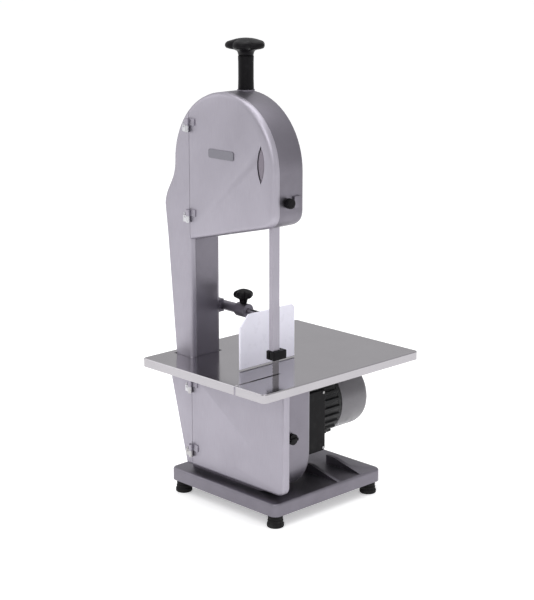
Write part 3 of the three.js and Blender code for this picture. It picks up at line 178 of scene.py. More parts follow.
class Tree:
    """A material's node tree with its Principled shader."""

    def __init__(self, name: str) -> None:
        """Starts an empty material with a Principled shader.

        Args:
            name: The material's name.
        """
        self.material = bpy.data.materials.new(name)
        self.material.use_nodes = True
        self.nodes = self.material.node_tree.nodes
        self.links = self.material.node_tree.links
        self.shader = next(n for n in self.nodes if n.type == "BSDF_PRINCIPLED")
        self.place = self.node("ShaderNodeTexCoord", {}, {}).outputs["Object"]

    def node(self, kind: str, settings: dict[str, object], inputs: dict[object, object]) -> bpy.types.Node:
        """Adds a node, sets its settings first and then its sockets.

        Args:
            kind: Blender's node type.
            settings: Node properties by name.
            inputs: Values, sockets or Value objects by socket name or number.

        Returns:
            The new node.
        """
        made = self.nodes.new(kind)
        for key, value in settings.items():
            setattr(made, key, value)
        for key, value in inputs.items():
            self.feed(made.inputs[key], value)
        return made

    def feed(self, socket: bpy.types.NodeSocket, value: object) -> None:
        """Links or sets one input socket.

        Args:
            socket: The input.
            value: A Value, an output socket, or a plain number or tuple.
        """
        if isinstance(value, Value):
            self.links.new(value.socket, socket)
        elif isinstance(value, bpy.types.NodeSocket):
            self.links.new(value, socket)
        else:
            socket.default_value = value

    def math(self, operation: str, *operands: object) -> Value:
        """Adds a Math node.

        Args:
            operation: Blender's name of the operation.
            operands: Numbers or values.

        Returns:
            The node's result.
        """
        made = self.node("ShaderNodeMath", {"operation": operation}, dict(enumerate(operands)))
        return Value(self, made.outputs[0])

    def stretched(self, grain: Grain) -> bpy.types.NodeSocket:
        """Object coordinates, compressed along the grain.

        Args:
            grain: Direction of the grain.

        Returns:
            The vector socket.
        """
        made = self.node("ShaderNodeVectorMath", {"operation": "MULTIPLY"}, {0: self.place, 1: grain.value})
        return made.outputs[0]

    def noise(self, size: float, detail: float = 3.0, grain: Grain = Grain.NONE, rough: float = 0.55) -> Value:
        """Cloudy noise.

        Args:
            size: Size of one cloud in metres.
            detail: Octaves.
            grain: Direction in which the clouds are drawn out.
            rough: Weight of the finer octaves.

        Returns:
            A value around 0.5.
        """
        made = self.node(
            "ShaderNodeTexNoise",
            {},
            {"Vector": self.stretched(grain), "Scale": 1.0 / size, "Detail": detail, "Roughness": rough},
        )
        return Value(self, made.outputs[0])

    def cells(self, size: float) -> Value:
        """Distance to the nearest of many scattered points.

        Args:
            size: Spacing of the points in metres.

        Returns:
            The distance as a share of the spacing.
        """
        made = self.node("ShaderNodeTexVoronoi", {}, {"Vector": self.place, "Scale": 1.0 / size})
        return Value(self, made.outputs["Distance"])

    def axis(self, letter: str) -> Value:
        """One object coordinate in metres.

        Args:
            letter: X, Y or Z.

        Returns:
            The coordinate.
        """
        made = self.node("ShaderNodeSeparateXYZ", {}, {0: self.place})
        return Value(self, made.outputs[letter])

    def blend(self, share: object, first: object, second: object) -> bpy.types.NodeSocket:
        """Mixes two colours.

        Args:
            share: Share of the second colour.
            first: Colour where the share is 0.
            second: Colour where the share is 1.

        Returns:
            The colour socket.
        """
        made = self.node("ShaderNodeMix", {"data_type": "RGBA"}, {0: share, 6: opaque(first), 7: opaque(second)})
        return made.outputs[2]

    def relief(self, height: object, depth: float, strength: float = 1.0) -> None:
        """Feeds a height to the shader's normal.

        Args:
            height: The height, from 0 to 1.
            depth: What a height of 1 stands for, in metres.
            strength: Strength of the bump.
        """
        made = self.node("ShaderNodeBump", {}, {"Height": height, "Distance": depth, "Strength": strength})
        self.feed(self.shader.inputs["Normal"], made.outputs[0])

    def colour(self, value: object) -> None:
        """Feeds the base colour.

        Args:
            value: A colour or a colour socket.
        """
        self.feed(self.shader.inputs["Base Color"], opaque(value))

    def roughness(self, value: object) -> None:
        """Feeds the roughness.

        Args:
            value: A number or a value.
        """
        self.feed(self.shader.inputs["Roughness"], value)

    def constants(self, **values: object) -> None:
        """Sets sockets that are the same all over the surface.

        Args:
            values: Values by socket name, with underscores for spaces.
        """
        for key, value in values.items():
            self.shader.inputs[key.replace("_", " ")].default_value = value


def opaque(colour: object) -> object:
    """Gives a plain colour an alpha of 1 and leaves a socket as it is.

    Args:
        colour: Three numbers, or a socket.

    Returns:
        Four numbers, or the socket.
    """
    return (*colour, 1.0) if isinstance(colour, tuple) and len(colour) == 3 else colour


# ---------------------------------------------------------------- finishes


@dataclass(frozen=True)
class Metal:
    """Bare metal: a grain, soft clouds, fine scratches and handling marks."""

    name: str
    tint: tuple[float, float, float]
    gloss: float
    grain: Grain = Grain.NONE
    grain_size: float = 0.4 * MM
    grain_depth: float = 0.02 * MM
    cloud_size: float = 35 * MM
    cloud_depth: float = 0.0
    scuffs: float = 0.35

    def build(self) -> bpy.types.Material:
        """Makes the material.

        Returns:
            The finished material.
        """
        tree = Tree(self.name)
        grain = tree.noise(self.grain_size, 2.0, self.grain)
        cloud = tree.noise(self.cloud_size, 4.0)
        scratch = tree.noise(1.4 * MM, 2.0, Grain.ALONG_X).step(0.66, 0.70) * tree.noise(18 * MM).step(0.5, 0.62)
        smear = tree.noise(60 * MM, 5.0).step(0.45, 0.7)
        dull = tuple(0.78 * c for c in self.tint)
        tone = (cloud - 0.5) * 0.6 + (grain - 0.5) * 0.5 + 0.35
        tree.colour(tree.blend(tone, self.tint, dull))
        spread = self.gloss * 0.55
        tree.roughness(
            self.gloss + (grain - 0.5) * spread + smear * self.scuffs * 0.12 + scratch * self.scuffs * 0.2
        )
        height = grain * self.grain_depth + cloud * self.cloud_depth + scratch * (self.scuffs * -0.004 * MM)
        tree.relief(height / MM, MM)
        tree.constants(Metallic=1.0)
        return tree.material


@dataclass(frozen=True)
class Machined:
    """Turned or ground steel with fine tool lines round an axle along Y or Z."""

    name: str
    tint: tuple[float, float, float]
    gloss: float
    line: float = 0.5 * MM

    def build(self) -> bpy.types.Material:
        """Makes the material.

        Returns:
            The finished material.
        """
        tree = Tree(self.name)
        lines = tree.math("SINE", tree.axis("Z") * (2 * math.pi / self.line)) * 0.5 + 0.5
        cross = tree.math("SINE", tree.axis("Y") * (2 * math.pi / self.line)) * 0.5 + 0.5
        cloud = tree.noise(12 * MM, 4.0)
        film = tree.noise(40 * MM, 3.0).step(0.48, 0.66)
        oiled = (self.tint[0] * 0.6, self.tint[1] * 0.56, self.tint[2] * 0.5)
        tree.colour(tree.blend(film * 0.5 + (cloud - 0.5) * 0.4, self.tint, oiled))
        tree.roughness(self.gloss + (cloud - 0.5) * 0.2 + film * 0.06)
        tree.relief((lines + cross) * 0.002 + cloud * 0.006, MM)
        tree.constants(Metallic=1.0)
        return tree.material


@dataclass(frozen=True)
class Paint:
    """Sprayed paint: orange peel, fine flake and settled dust."""

    name: str
    tint: tuple[float, float, float]
    gloss: float
    flake: float = 0.0
    dust: float = 0.4
    shine: float = 0.3

    def build(self) -> bpy.types.Material:
        """Makes the material.

        Returns:
            The finished material.
        """
        tree = Tree(self.name)
        peel = tree.noise(1.6 * MM, 2.0)
        flakes = tree.cells(0.35 * MM).step(0.5, 0.2)
        dust = tree.noise(25 * MM, 5.0).step(0.46, 0.72) * tree.noise(2 * MM, 2.0)
        pale = tuple(0.7 * c + 0.03 for c in self.tint)
        light = tuple(min(1.0, 1.5 * c + 0.02) for c in self.tint)
        base = tree.blend(flakes * self.flake, self.tint, light)
        tree.colour(tree.blend(dust * self.dust, base, pale))
        tree.roughness(self.gloss + (peel - 0.5) * 0.1 + dust * 0.25)
        tree.relief(peel * 0.03 + dust * 0.01, MM, 0.7)
        tree.constants(Metallic=self.flake * 0.6, Specular_IOR_Level=self.shine)
        return tree.material


@dataclass(frozen=True)
class Moulded:
    """Moulded plastic or rubber: spark-eroded grain, rubbed highlights and scuffs."""

    name: str
    tint: tuple[float, float, float]
    gloss: float
    texture: float = 0.02 * MM
    texture_size: float = 0.5 * MM
    wear: float = 0.25
    softness: float = 0.0
    shine: float = 0.5

    def build(self) -> bpy.types.Material:
        """Makes the material.

        Returns:
            The finished material.
        """
        tree = Tree(self.name)
        pits = tree.cells(self.texture_size)
        fine = tree.noise(self.texture_size * 0.6, 2.0)
        rubbed = tree.noise(14 * MM, 4.0).step(0.48, 0.7)
        scuff = tree.noise(1.2 * MM, 2.0, Grain.ALONG_Y).step(0.67, 0.71) * tree.noise(15 * MM).step(0.5, 0.6)
        pale = tuple(min(1.0, 0.9 * c + 0.018) for c in self.tint)
        tree.colour(tree.blend(rubbed * self.wear + scuff * self.wear, self.tint, pale))
        tree.roughness(self.gloss + (fine - 0.5) * 0.16 - rubbed * 0.08 + scuff * 0.12)
        tree.relief((pits * 0.6 + fine * 0.4) * (self.texture / MM), MM)
        tree.constants(Subsurface_Weight=self.softness, Specular_IOR_Level=self.shine)
        tree.shader.inputs["Subsurface Radius"].default_value = (2 * MM, 2 * MM, 2 * MM)
        return tree.material


class Finish(Enum):
    """The saw's finishes, each with the record's slot that it stands for."""

    CASTING = "cast_aluminium"
    ANODISED = "anodised_aluminium"
    POLISHED = "stainless_steel"
    STEEL = "steel"
    IRON = "cast_iron"
    MOTOR_PAINT = "black_paint"
    COWL_PAINT = "silver_paint"
    BLACK = "black_plastic"
    RUBBER = "black_rubber"
    NYLON = "white_plastic"
    GREEN = "green_plastic"
    RED = "red_plastic"


RECIPES = {
    Finish.CASTING: Metal(
        "satin_cast_aluminium",
        (0.215, 0.202, 0.234),
        gloss=0.42,
        grain_size=0.9 * MM,
        grain_depth=0.05 * MM,
        cloud_size=30 * MM,
        cloud_depth=0.12 * MM,
        scuffs=0.5,
    ),
    Finish.ANODISED: Metal(
        "satin_anodised_aluminium",
        (0.385, 0.365, 0.415),
        gloss=0.47,
        grain=Grain.ALONG_Z,
        grain_size=0.5 * MM,
        grain_depth=0.012 * MM,
        cloud_size=70 * MM,
        cloud_depth=0.05 * MM,
    ),
    Finish.POLISHED: Metal(
        "polished_stainless",
        (0.42, 0.405, 0.425),
        gloss=0.13,
        grain=Grain.ALONG_X,
        grain_size=0.35 * MM,
        grain_depth=0.002 * MM,
        cloud_size=90 * MM,
        cloud_depth=0.01 * MM,
        scuffs=0.3,
    ),
    Finish.STEEL: Machined("machined_steel", (0.50, 0.50, 0.52), 0.28),
    Finish.IRON: Machined("machined_cast_iron", (0.30, 0.30, 0.31), 0.45, 0.8 * MM),
    Finish.MOTOR_PAINT: Paint("black_motor_paint", (0.006, 0.006, 0.007), 0.46),
    Finish.COWL_PAINT: Paint("silver_cowl_paint", (0.13, 0.125, 0.135), 0.34, 0.8, 0.2, 0.5),
    Finish.BLACK: Moulded("black_moulded_plastic", (0.004, 0.0035, 0.0045), 0.42, shine=0.1),
    Finish.RUBBER: Moulded("black_rubber", (0.006, 0.0055, 0.006), 0.72, 0.06 * MM, 0.9 * MM, 0.5, shine=0.2),
    Finish.NYLON: Moulded("white_nylon", (0.76, 0.75, 0.84), 0.34, 0.01 * MM, 0.4 * MM, 0.1, 0.15),
    Finish.GREEN: Moulded("green_button_plastic", (0.015, 0.26, 0.07), 0.30, 0.01 * MM),
    Finish.RED: Moulded("red_button_plastic", (0.45, 0.015, 0.012), 0.30, 0.01 * MM),
}
MATERIALS = {finish: recipe.build() for finish, recipe in RECIPES.items()}
SLOT_OF = {entry["node"]: entry["material_slot"] for entry in frame["record"]["subparts"]}
BODY_OF = {node: body for body, nodes in frame["record"]["behaviour"]["bodies"].items() for node in nodes}


# ---------------------------------------------------------------- making pieces


def finish_piece(piece: bpy.types.Object, finish: Finish, body: str, *nodes: str) -> bpy.types.Object:
    """Gives a piece its material and body, and lets it stand for frame nodes.

    Args:
        piece: The object, in place.
        finish: Its finish.
        body: Name of the body that it moves with.
        nodes: Frame nodes that it stands for.

    Returns:
        The piece.
    """
    piece.data.materials.clear()
    piece.data.materials.append(MATERIALS[finish])
    if nodes:
        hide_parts(*nodes)
    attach(piece, body)
    return piece


def linked(mesh: bpy.types.Mesh, name: str) -> bpy.types.Object:
    """Puts a mesh into the scene as an object at the origin.

    Args:
        mesh: The mesh.
        name: The object's name.

    Returns:
        The object.
    """
    piece = bpy.data.objects.new(name, mesh)
    bpy.context.scene.collection.objects.link(piece)
    return piece


def shade(mesh: bpy.types.Mesh, angle: float = 38.0) -> None:
    """Smooths a mesh except at its sharp edges.

    Args:
        mesh: The mesh.
        angle: Edges sharper than this stay sharp, in degrees.
    """
    mesh.polygons.foreach_set("use_smooth", np.ones(len(mesh.polygons), dtype=bool))
    mesh.set_sharp_from_angle(angle=math.radians(angle))


def grid_mesh(name: str, points: np.ndarray, wrap_rows: bool = False) -> bpy.types.Mesh:
    """Closed skin over a grid: columns wrap round, and rows wrap round or end in a fan at each pole.

    Each face joins points (i, j), (i, j+1), (i+1, j+1) and (i+1, j), with j taken round the loop.

    Args:
        name: The mesh's name.
        points: Array of rows by columns by 3, in metres.
        wrap_rows: Whether the last row joins the first.

    Returns:
        The mesh, its faces pointing outwards.
    """
    rows, columns, _ = points.shape
    index = np.arange(rows * columns).reshape(rows, columns)
    after = np.roll(index, -1, axis=1)
    below, above = (index, np.roll(index, -1, axis=0)) if wrap_rows else (index[:-1], index[1:])
    side = after if wrap_rows else after[:-1]
    side_above = np.roll(after, -1, axis=0) if wrap_rows else after[1:]
    faces = np.stack([below, side, side_above, above], axis=-1).reshape(-1, 4).tolist()
    if not wrap_rows:
        faces += [index[0, ::-1].tolist(), index[-1].tolist()]
    mesh = bpy.data.meshes.new(name)
    mesh.from_pydata(points.reshape(-1, 3), [], faces)
    outward(mesh)
    return mesh


def outward(mesh: bpy.types.Mesh) -> None:
    """Merges doubled points and turns every face outwards.

    Args:
        mesh: The mesh, changed in place.
    """
    work = bmesh.new()
    work.from_mesh(mesh)
    bmesh.ops.remove_doubles(work, verts=work.verts, dist=1e-6)
    bmesh.ops.dissolve_degenerate(work, edges=work.edges, dist=1e-7)
    bmesh.ops.recalc_face_normals(work, faces=work.faces)
    work.to_mesh(mesh)
    work.free()


def turned(profile: np.ndarray, base: Vector, along: str, around: int = 64) -> np.ndarray:
    """A profile turned about an axle: point = base + r (cos a, sin a) across + h along.

    Args:
        profile: Rows of radius and height, in metres.
        base: Where the axle starts.
        along: X, Y or Z.
        around: Points round the axle.

    Returns:
        Grid of points.
    """
    angle = np.linspace(0, 2 * np.pi, around, endpoint=False)
    radius, height = profile[:, :1], profile[:, 1:] * np.ones(around)
    first, second = radius * np.cos(angle), radius * np.sin(angle)
    order = {"X": (height, first, second), "Y": (second, height, first), "Z": (first, second, height)}[along]
    return np.stack(order, axis=-1) + np.array(base)


def rounded(profile: np.ndarray, radius: float, steps: int = 5) -> np.ndarray:
    """Rounds the inner corners of a profile with quadratic arcs.

    Each corner c between neighbours a and b becomes the curve (1-t)^2 p + 2t(1-t) c + t^2 q, where p and q lie on
    the two legs at the given distance from c, or at half a leg where the leg is short.

    Args:
        profile: Rows of radius and height.
        radius: Distance from a corner to where its arc starts.
        steps: Points on each arc.

    Returns:
        The longer profile.
    """
    before, corner, behind = profile[:-2], profile[1:-1], profile[2:]
    to_a, to_b = before - corner, behind - corner
    reach_a = np.minimum(radius / np.maximum(np.linalg.norm(to_a, axis=1), 1e-9), 0.49)[:, None]
    reach_b = np.minimum(radius / np.maximum(np.linalg.norm(to_b, axis=1), 1e-9), 0.49)[:, None]
    start, end = corner + to_a * reach_a, corner + to_b * reach_b
    t = np.linspace(0, 1, steps)[None, :, None]
    arcs = (1 - t) ** 2 * start[:, None] + 2 * t * (1 - t) * corner[:, None] + t**2 * end[:, None]
    return np.vstack([profile[:1], arcs.reshape(-1, 2), profile[-1:]])


def refined(node: str, edge: float = 0.5 * MM, angle: float = 38.0) -> bpy.types.Object:
    """A merged copy of a frame node with smooth curves and softened edges.

    Args:
        node: The frame node.
        edge: Width of the softened edge, 0 for none.
        angle: Edges sharper than this are softened, in degrees.

    Returns:
        The copy, named after the node.
    """
    mesh = frame["nodes"][node].data.copy()
    mesh.name = f"{node}_finished"
    work = bmesh.new()
    work.from_mesh(mesh)
    bmesh.ops.remove_doubles(work, verts=work.verts, dist=2e-6)
    bmesh.ops.dissolve_limit(work, angle_limit=math.radians(1.0), verts=work.verts, edges=work.edges)
    work.to_mesh(mesh)
    work.free()
    shade(mesh, angle)
    piece = linked(mesh, f"{node}_finished")
    if edge > 0:
        bevel = piece.modifiers.new("soft_edges", "BEVEL")
        bevel.width = edge
        bevel.segments = 2
        bevel.limit_method = "ANGLE"
        bevel.angle_limit = math.radians(angle)
        bevel.harden_normals = True
        bevel.use_clamp_overlap = True
    return piece


def dress(node: str, edge: float = 0.5 * MM, finish: Finish | None = None) -> bpy.types.Object:
    """Replaces a frame node by its refined copy in the finish of its slot.

    Args:
        node: The frame node.
        edge: Width of the softened edge.
        finish: Another finish than the slot's.

    Returns:
        The piece.
    """
    return finish_piece(refined(node, edge), finish or Finish(SLOT_OF[node]), BODY_OF[node], node)


def corners(node: str) -> tuple[Vector, Vector, Vector]:
    """Box of a frame node at rest.

    Args:
        node: The frame node.

    Returns:
        Its lowest corner, its highest corner and its middle.
    """
    low, high = (Vector(c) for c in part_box(node))
    return low, high, (low + high) / 2


def merged(name: str, meshes: list[bpy.types.Mesh]) -> bpy.types.Mesh:
    """Joins several meshes into one.

    Args:
        name: The new mesh's name.
        meshes: The meshes, which are used up.

    Returns:
        The joined mesh.
    """
    work = bmesh.new()
    for mesh in meshes:
        work.from_mesh(mesh)
        bpy.data.meshes.remove(mesh)
    joined = bpy.data.meshes.new(name)
    work.to_mesh(joined)
    work.free()
    return joined


# ---------------------------------------------------------------- sub-assemblies


@dataclass
class StarKnob:
    """A lobed knob with a domed top, on an upright screw."""

    node: str
    lobes: int = 5
    turn: float = math.radians(226)
    lobe_share: float = 0.23
    around: int = 160
    tip_share: float = 0.985

    def build(self) -> bpy.types.Mesh:
        """Makes the knob as one surface of angle and profile.

        The radius at angle a is f R (1 - share g (1 - |cos(n (a - turn) / 2)| ** 0.8)), where f is the profile's
        width as a share of the full radius R, and g fades the lobes out towards the hub and the dome.

        Returns:
            The head's mesh.
        """
        low, high, _ = corners(self.node)
        height = self.height(low, high)
        base = high.z - height
        centre = self.centre()
        full = self.reach(low, high, centre)
        profile = self.profile()
        angle = np.linspace(0, 2 * np.pi, self.around, endpoint=False)
        valley = 1 - np.abs(np.cos(self.lobes * (angle - self.turn) / 2)) ** 0.8
        fade = profile[:, 2:3]
        radius = profile[:, :1] * full * (1 - self.lobe_share * fade * valley)
        rise = profile[:, 1:2] * height * np.ones_like(angle)
        points = np.stack(
            [centre.x + radius * np.cos(angle), centre.y + radius * np.sin(angle), base + rise], axis=-1
        )
        return grid_mesh(f"{self.node}_head", points)

    def profile(self) -> np.ndarray:
        """Outline of the head.

        Returns:
            Rows of width share, height share and lobe strength, from the hub to the top.
        """
        return np.array(
            [
                [0.02, 0.0, 0.0], [0.34, 0.0, 0.0], [0.37, 0.03, 0.0], [0.39, 0.16, 0.0], [0.44, 0.26, 0.1],
                [0.60, 0.34, 0.5], [0.80, 0.38, 0.9], [0.93, 0.43, 1.0], [0.985, 0.50, 1.0], [1.0, 0.58, 1.0],
                [0.99, 0.66, 1.0], [0.95, 0.74, 1.0], [0.88, 0.80, 1.0], [0.78, 0.84, 0.85], [0.66, 0.88, 0.5],
                [0.52, 0.93, 0.2], [0.36, 0.97, 0.0], [0.18, 0.995, 0.0], [0.02, 1.0, 0.0],
            ]
        )  # fmt: skip

    def height(self, low: Vector, high: Vector) -> float:
        """Height of the knob's head.

        Args:
            low: Lowest corner of the knob's box.
            high: Highest corner of the knob's box.

        Returns:
            The height.
        """
        return high.z - low.z

    def reach(self, low: Vector, high: Vector, centre: Vector) -> float:
        """Full radius of the lobes: the largest that keeps every lobe's tip inside the box.

        Args:
            low: Lowest corner of the knob's box.
            high: Highest corner of the knob's box.
            centre: A point on the screw's axis.

        Returns:
            The radius.
        """
        tips = self.turn + 2 * np.pi * np.arange(self.lobes) / self.lobes
        east, north = np.cos(tips), np.sin(tips)
        room = (
            (high.x - centre.x) / east.max(),
            (centre.x - low.x) / -east.min(),
            (high.y - centre.y) / north.max(),
            (centre.y - low.y) / -north.min(),
        )
        return self.tip_share * min(room)

    def centre(self) -> Vector:
        """Place of the knob's screw.

        Returns:
            A point on its axis.
        """
        joint = next(j for j in frame["record"]["behaviour"]["joints"] if j["child"] == BODY_OF[self.node])
        return Vector(joint["pos_m"])

    def dress(self, *extra: bpy.types.Mesh) -> bpy.types.Object:
        """Builds the knob and dresses it.

        Args:
            extra: Meshes that belong to it, such as its screw.

        Returns:
            The piece.
        """
        head = self.build()
        mesh = merged(f"{self.node}_finished", [head, *extra])
        shade(mesh, 50)
        return finish_piece(linked(mesh, mesh.name), Finish.BLACK, BODY_OF[self.node], self.node)


@dataclass
class GaugeKnob(StarKnob):
    """The gauge's lock knob, with its screw below the head."""

    turn: float = 0.0
    head_height: float = 26 * MM
    screw_radius: float = 3 * MM

    def height(self, low: Vector, high: Vector) -> float:
        """Height of the head alone.

        Args:
            low: Lowest corner of the knob's box.
            high: Highest corner of the knob's box.

        Returns:
            The height.
        """
        return self.head_height

    def finish(self) -> bpy.types.Object:
        """Makes the head and the threaded screw.

        The thread's radius is r - depth |((h / pitch - a / 2 pi) mod 1) - 1/2|, a ridge that climbs with the angle.

        Returns:
            The piece.
        """
        low, high, _ = corners(self.node)
        axis = self.centre()
        start = Vector((axis.x, axis.y, low.z))
        height = np.linspace(0, high.z - self.head_height - low.z + 3 * MM, 60)[:, None]
        angle = np.linspace(0, 2 * np.pi, 32, endpoint=False)[None, :]
        ridge = np.abs(np.mod(height / (1 * MM) - angle / (2 * np.pi), 1) - 0.5)
        radius = self.screw_radius - 0.5 * MM * ridge
        points = np.stack(
            [start.x + radius * np.cos(angle), start.y + radius * np.sin(angle), start.z + height + 0 * angle],
            axis=-1,
        )
        return self.dress(grid_mesh("gauge_screw", points))


@dataclass
class TurnedPieces:
    """Round pieces that are turned profiles: feet, sleeve, guard knob and buttons."""

    around: int = 72

    def foot(self, node: str) -> bpy.types.Object:
        """Rubber foot: a wide sole, a waist with two grooves, and a neck.

        Args:
            node: The foot's frame node.

        Returns:
            The piece.
        """
        low, high, middle = corners(node)
        r, h = (high.x - low.x) / 2, high.z - low.z
        profile = np.array(
            [
                [0.02, 0.02], [0.55, 0.02], [0.60, 0.0], [0.90, 0.0], [1.0, 0.06], [1.0, 0.27], [0.93, 0.34],
                [0.86, 0.36], [0.86, 0.44], [0.92, 0.46], [0.90, 0.58], [0.82, 0.60], [0.82, 0.68], [0.88, 0.70],
                [0.84, 0.92], [0.78, 1.0], [0.02, 1.0],
            ]
        ) * [r, h]  # fmt: skip
        points = turned(rounded(profile, 0.6 * MM, 4), Vector((middle.x, middle.y, low.z)), "Z", self.around)
        return self.dressed(node, points, Finish.RUBBER)

    def sleeve(self) -> bpy.types.Object:
        """Tension sleeve: a plain open tube with rounded rims.

        Returns:
            The piece.
        """
        low, high, middle = corners("tension_sleeve")
        r, h = (high.x - low.x) / 2, high.z - low.z
        bore = r * 0.73
        flare = 0.97 * r
        wall = np.array([[bore, 0.0], [r, 0.0], [r, 2 * MM], [flare, 0.3 * h], [flare, 0.8 * h], [r, h], [bore, h]])
        profile = rounded(np.vstack([wall, wall[:1]]), 1.2 * MM, 5)[:-1]
        points = turned(profile, Vector((middle.x, middle.y, low.z)), "Z", self.around)
        mesh = grid_mesh("tension_sleeve_finished", points, wrap_rows=True)
        shade(mesh, 45)
        return finish_piece(linked(mesh, mesh.name), Finish.BLACK, BODY_OF["tension_sleeve"], "tension_sleeve")

    def guard_knob(self) -> bpy.types.Object:
        """Guard's lock knob: a knurled disc whose rim is r (1 + 0.035 cos 24 a), with its screw through the wall.

        Returns:
            The piece.
        """
        low, high, middle = corners("guard_lock_knob")
        r = (high.y - low.y) / 2
        head = 14.5 * MM
        face = high.x - head
        rows = np.array(
            [
                [0.45, low.x - face, 0], [0.45, 0.4 * MM, 0], [0.62, 0.5 * MM, 0], [0.72, 0.6 * MM, 0],
                [0.93, 2.6 * MM, 1], [0.96, 3.4 * MM, 1], [0.96, 11.2 * MM, 1], [0.93, 12.3 * MM, 1],
                [0.84, 13.3 * MM, 0.4], [0.60, 13.9 * MM, 0], [0.56, 13.4 * MM, 0], [0.02, 13.2 * MM, 0],
            ]
        )  # fmt: skip
        angle = np.linspace(0, 2 * np.pi, 192, endpoint=False)
        radius = rows[:, :1] * r * (1 + 0.035 * rows[:, 2:] * np.cos(24 * angle))
        stem = np.vstack([[[0.02 * r] * angle.size], radius])
        along = np.concatenate([rows[:1, 1], rows[:, 1]])[:, None] + 0 * angle
        points = np.stack(
            [face + along, middle.y + stem * np.cos(angle), middle.z + stem * np.sin(angle)], axis=-1
        )
        return self.dressed("guard_lock_knob", points, Finish.BLACK)

    def button(self, node: str, finish: Finish, domed: bool) -> bpy.types.Object:
        """Push button: a cap with a rolled rim and a shallow dish or dome.

        Args:
            node: The button's frame node.
            finish: Its plastic.
            domed: A dome if true, a dish if not.

        Returns:
            The piece.
        """
        low, high, middle = corners(node)
        r, h = (high.y - low.y) / 2, high.x - low.x
        t = np.linspace(0, 1, 8)
        face = h * (0.84 + 0.16 * (1 - t**2)) if domed else h * (0.86 + 0.1 * t**2)
        top = np.stack([0.86 * r * t, face], axis=-1)[::-1]
        shoulder, rim = (0.9, 0.86) if domed else (0.98, 0.99)
        side = np.array([[0.02 * r, 0], [r, 0], [r, h * 0.80], [0.96 * r, h * shoulder], [0.9 * r, h * rim]])
        profile = np.vstack([rounded(side, 0.5 * MM, 4), top[:-1], [[0.02 * r, face[0]]]])
        points = turned(profile * [1, -1], Vector((high.x, middle.y, middle.z)), "X", 56)
        return self.dressed(node, points, finish)

    def dressed(self, node: str, points: np.ndarray, finish: Finish) -> bpy.types.Object:
        """Makes and dresses a piece from its grid of points.

        Args:
            node: Frame node that it stands for.
            points: Grid of points.
            finish: Its finish.

        Returns:
            The piece.
        """
        mesh = grid_mesh(f"{node}_finished", points)
        shade(mesh, 40)
        return finish_piece(linked(mesh, mesh.name), finish, BODY_OF[node], node)


@dataclass
class SawBand:
    """The toothed band round both wheels."""

    teeth: int = 260
    depth: float = 2.2 * MM

    def build(self) -> bpy.types.Object:
        """Makes the loop as a section of four points carried round a stadium.

        A stadium of radius r about two centres a distance c apart has length 2 c + 2 pi r; a point at length s lies
        on the right strand for s < c, on the upper arc up to c + pi r, on the left strand up to 2 c + pi r, and on
        the lower arc after that. The front edge is cut back by the tooth depth times a ramp that falls steeply
        once a tooth.

        Returns:
            The piece.
        """
        low, high, middle = corners("saw_band")
        outer = (high.x - low.x) / 2
        thickness = 0.6 * MM
        centres = (low.z + outer, high.z - outer)
        apart = centres[1] - centres[0]
        r = outer - thickness / 2
        length = 2 * apart + 2 * np.pi * r
        s = np.linspace(0, length, self.teeth * 4, endpoint=False)
        phase = np.tile(np.array([0.0, 0.55, 0.9, 1.0]), self.teeth)
        place, across = self.path(s, apart, r, middle.x, centres[0])
        front = low.y + self.depth * np.abs(phase - 0.9) / 0.9
        rear = np.full_like(front, high.y)
        side = across * thickness / 2
        zero = np.zeros_like(front)

        def rail(sign: float, y: np.ndarray) -> np.ndarray:
            """One corner of the section, all round the loop.

            Args:
                sign: 1 on the loop's outside, -1 on its inside.
                y: The corner's Y at each point of the loop.

            Returns:
                Rows of X, Y and Z.
            """
            return np.stack([place[:, 0] + sign * side[:, 0], y + zero, place[:, 1] + sign * side[:, 1]], axis=-1)

        points = np.stack([rail(1, front), rail(-1, front), rail(-1, rear), rail(1, rear)], axis=1)
        mesh = grid_mesh("saw_band_finished", points, wrap_rows=True)
        shade(mesh, 30)
        return finish_piece(linked(mesh, mesh.name), Finish.POLISHED, BODY_OF["saw_band"], "saw_band")

    @staticmethod
    def path(s: np.ndarray, apart: float, r: float, x: float, z: float) -> tuple[np.ndarray, np.ndarray]:
        """Points of the stadium and its outward direction.

        Args:
            s: Lengths along the loop.
            apart: Distance between the two centres.
            r: Radius.
            x: The centres' X.
            z: The lower centre's Z.

        Returns:
            Points and directions, each as rows of X and Z.
        """
        half = np.pi * r
        on_arc_up = (s - apart) / r
        on_arc_down = np.pi + (s - 2 * apart - half) / r
        stretches = [s < apart, s < apart + half, s < 2 * apart + half]
        angle = np.select(stretches, [0 * s, on_arc_up, 0 * s + np.pi], on_arc_down)
        rise = np.select(stretches, [s, 0 * s + apart, 2 * apart + half - s], 0 * s)
        across = np.stack([np.cos(angle), np.sin(angle)], axis=-1)
        return np.stack([x + r * across[:, 0], z + rise + r * across[:, 1]], axis=-1), across


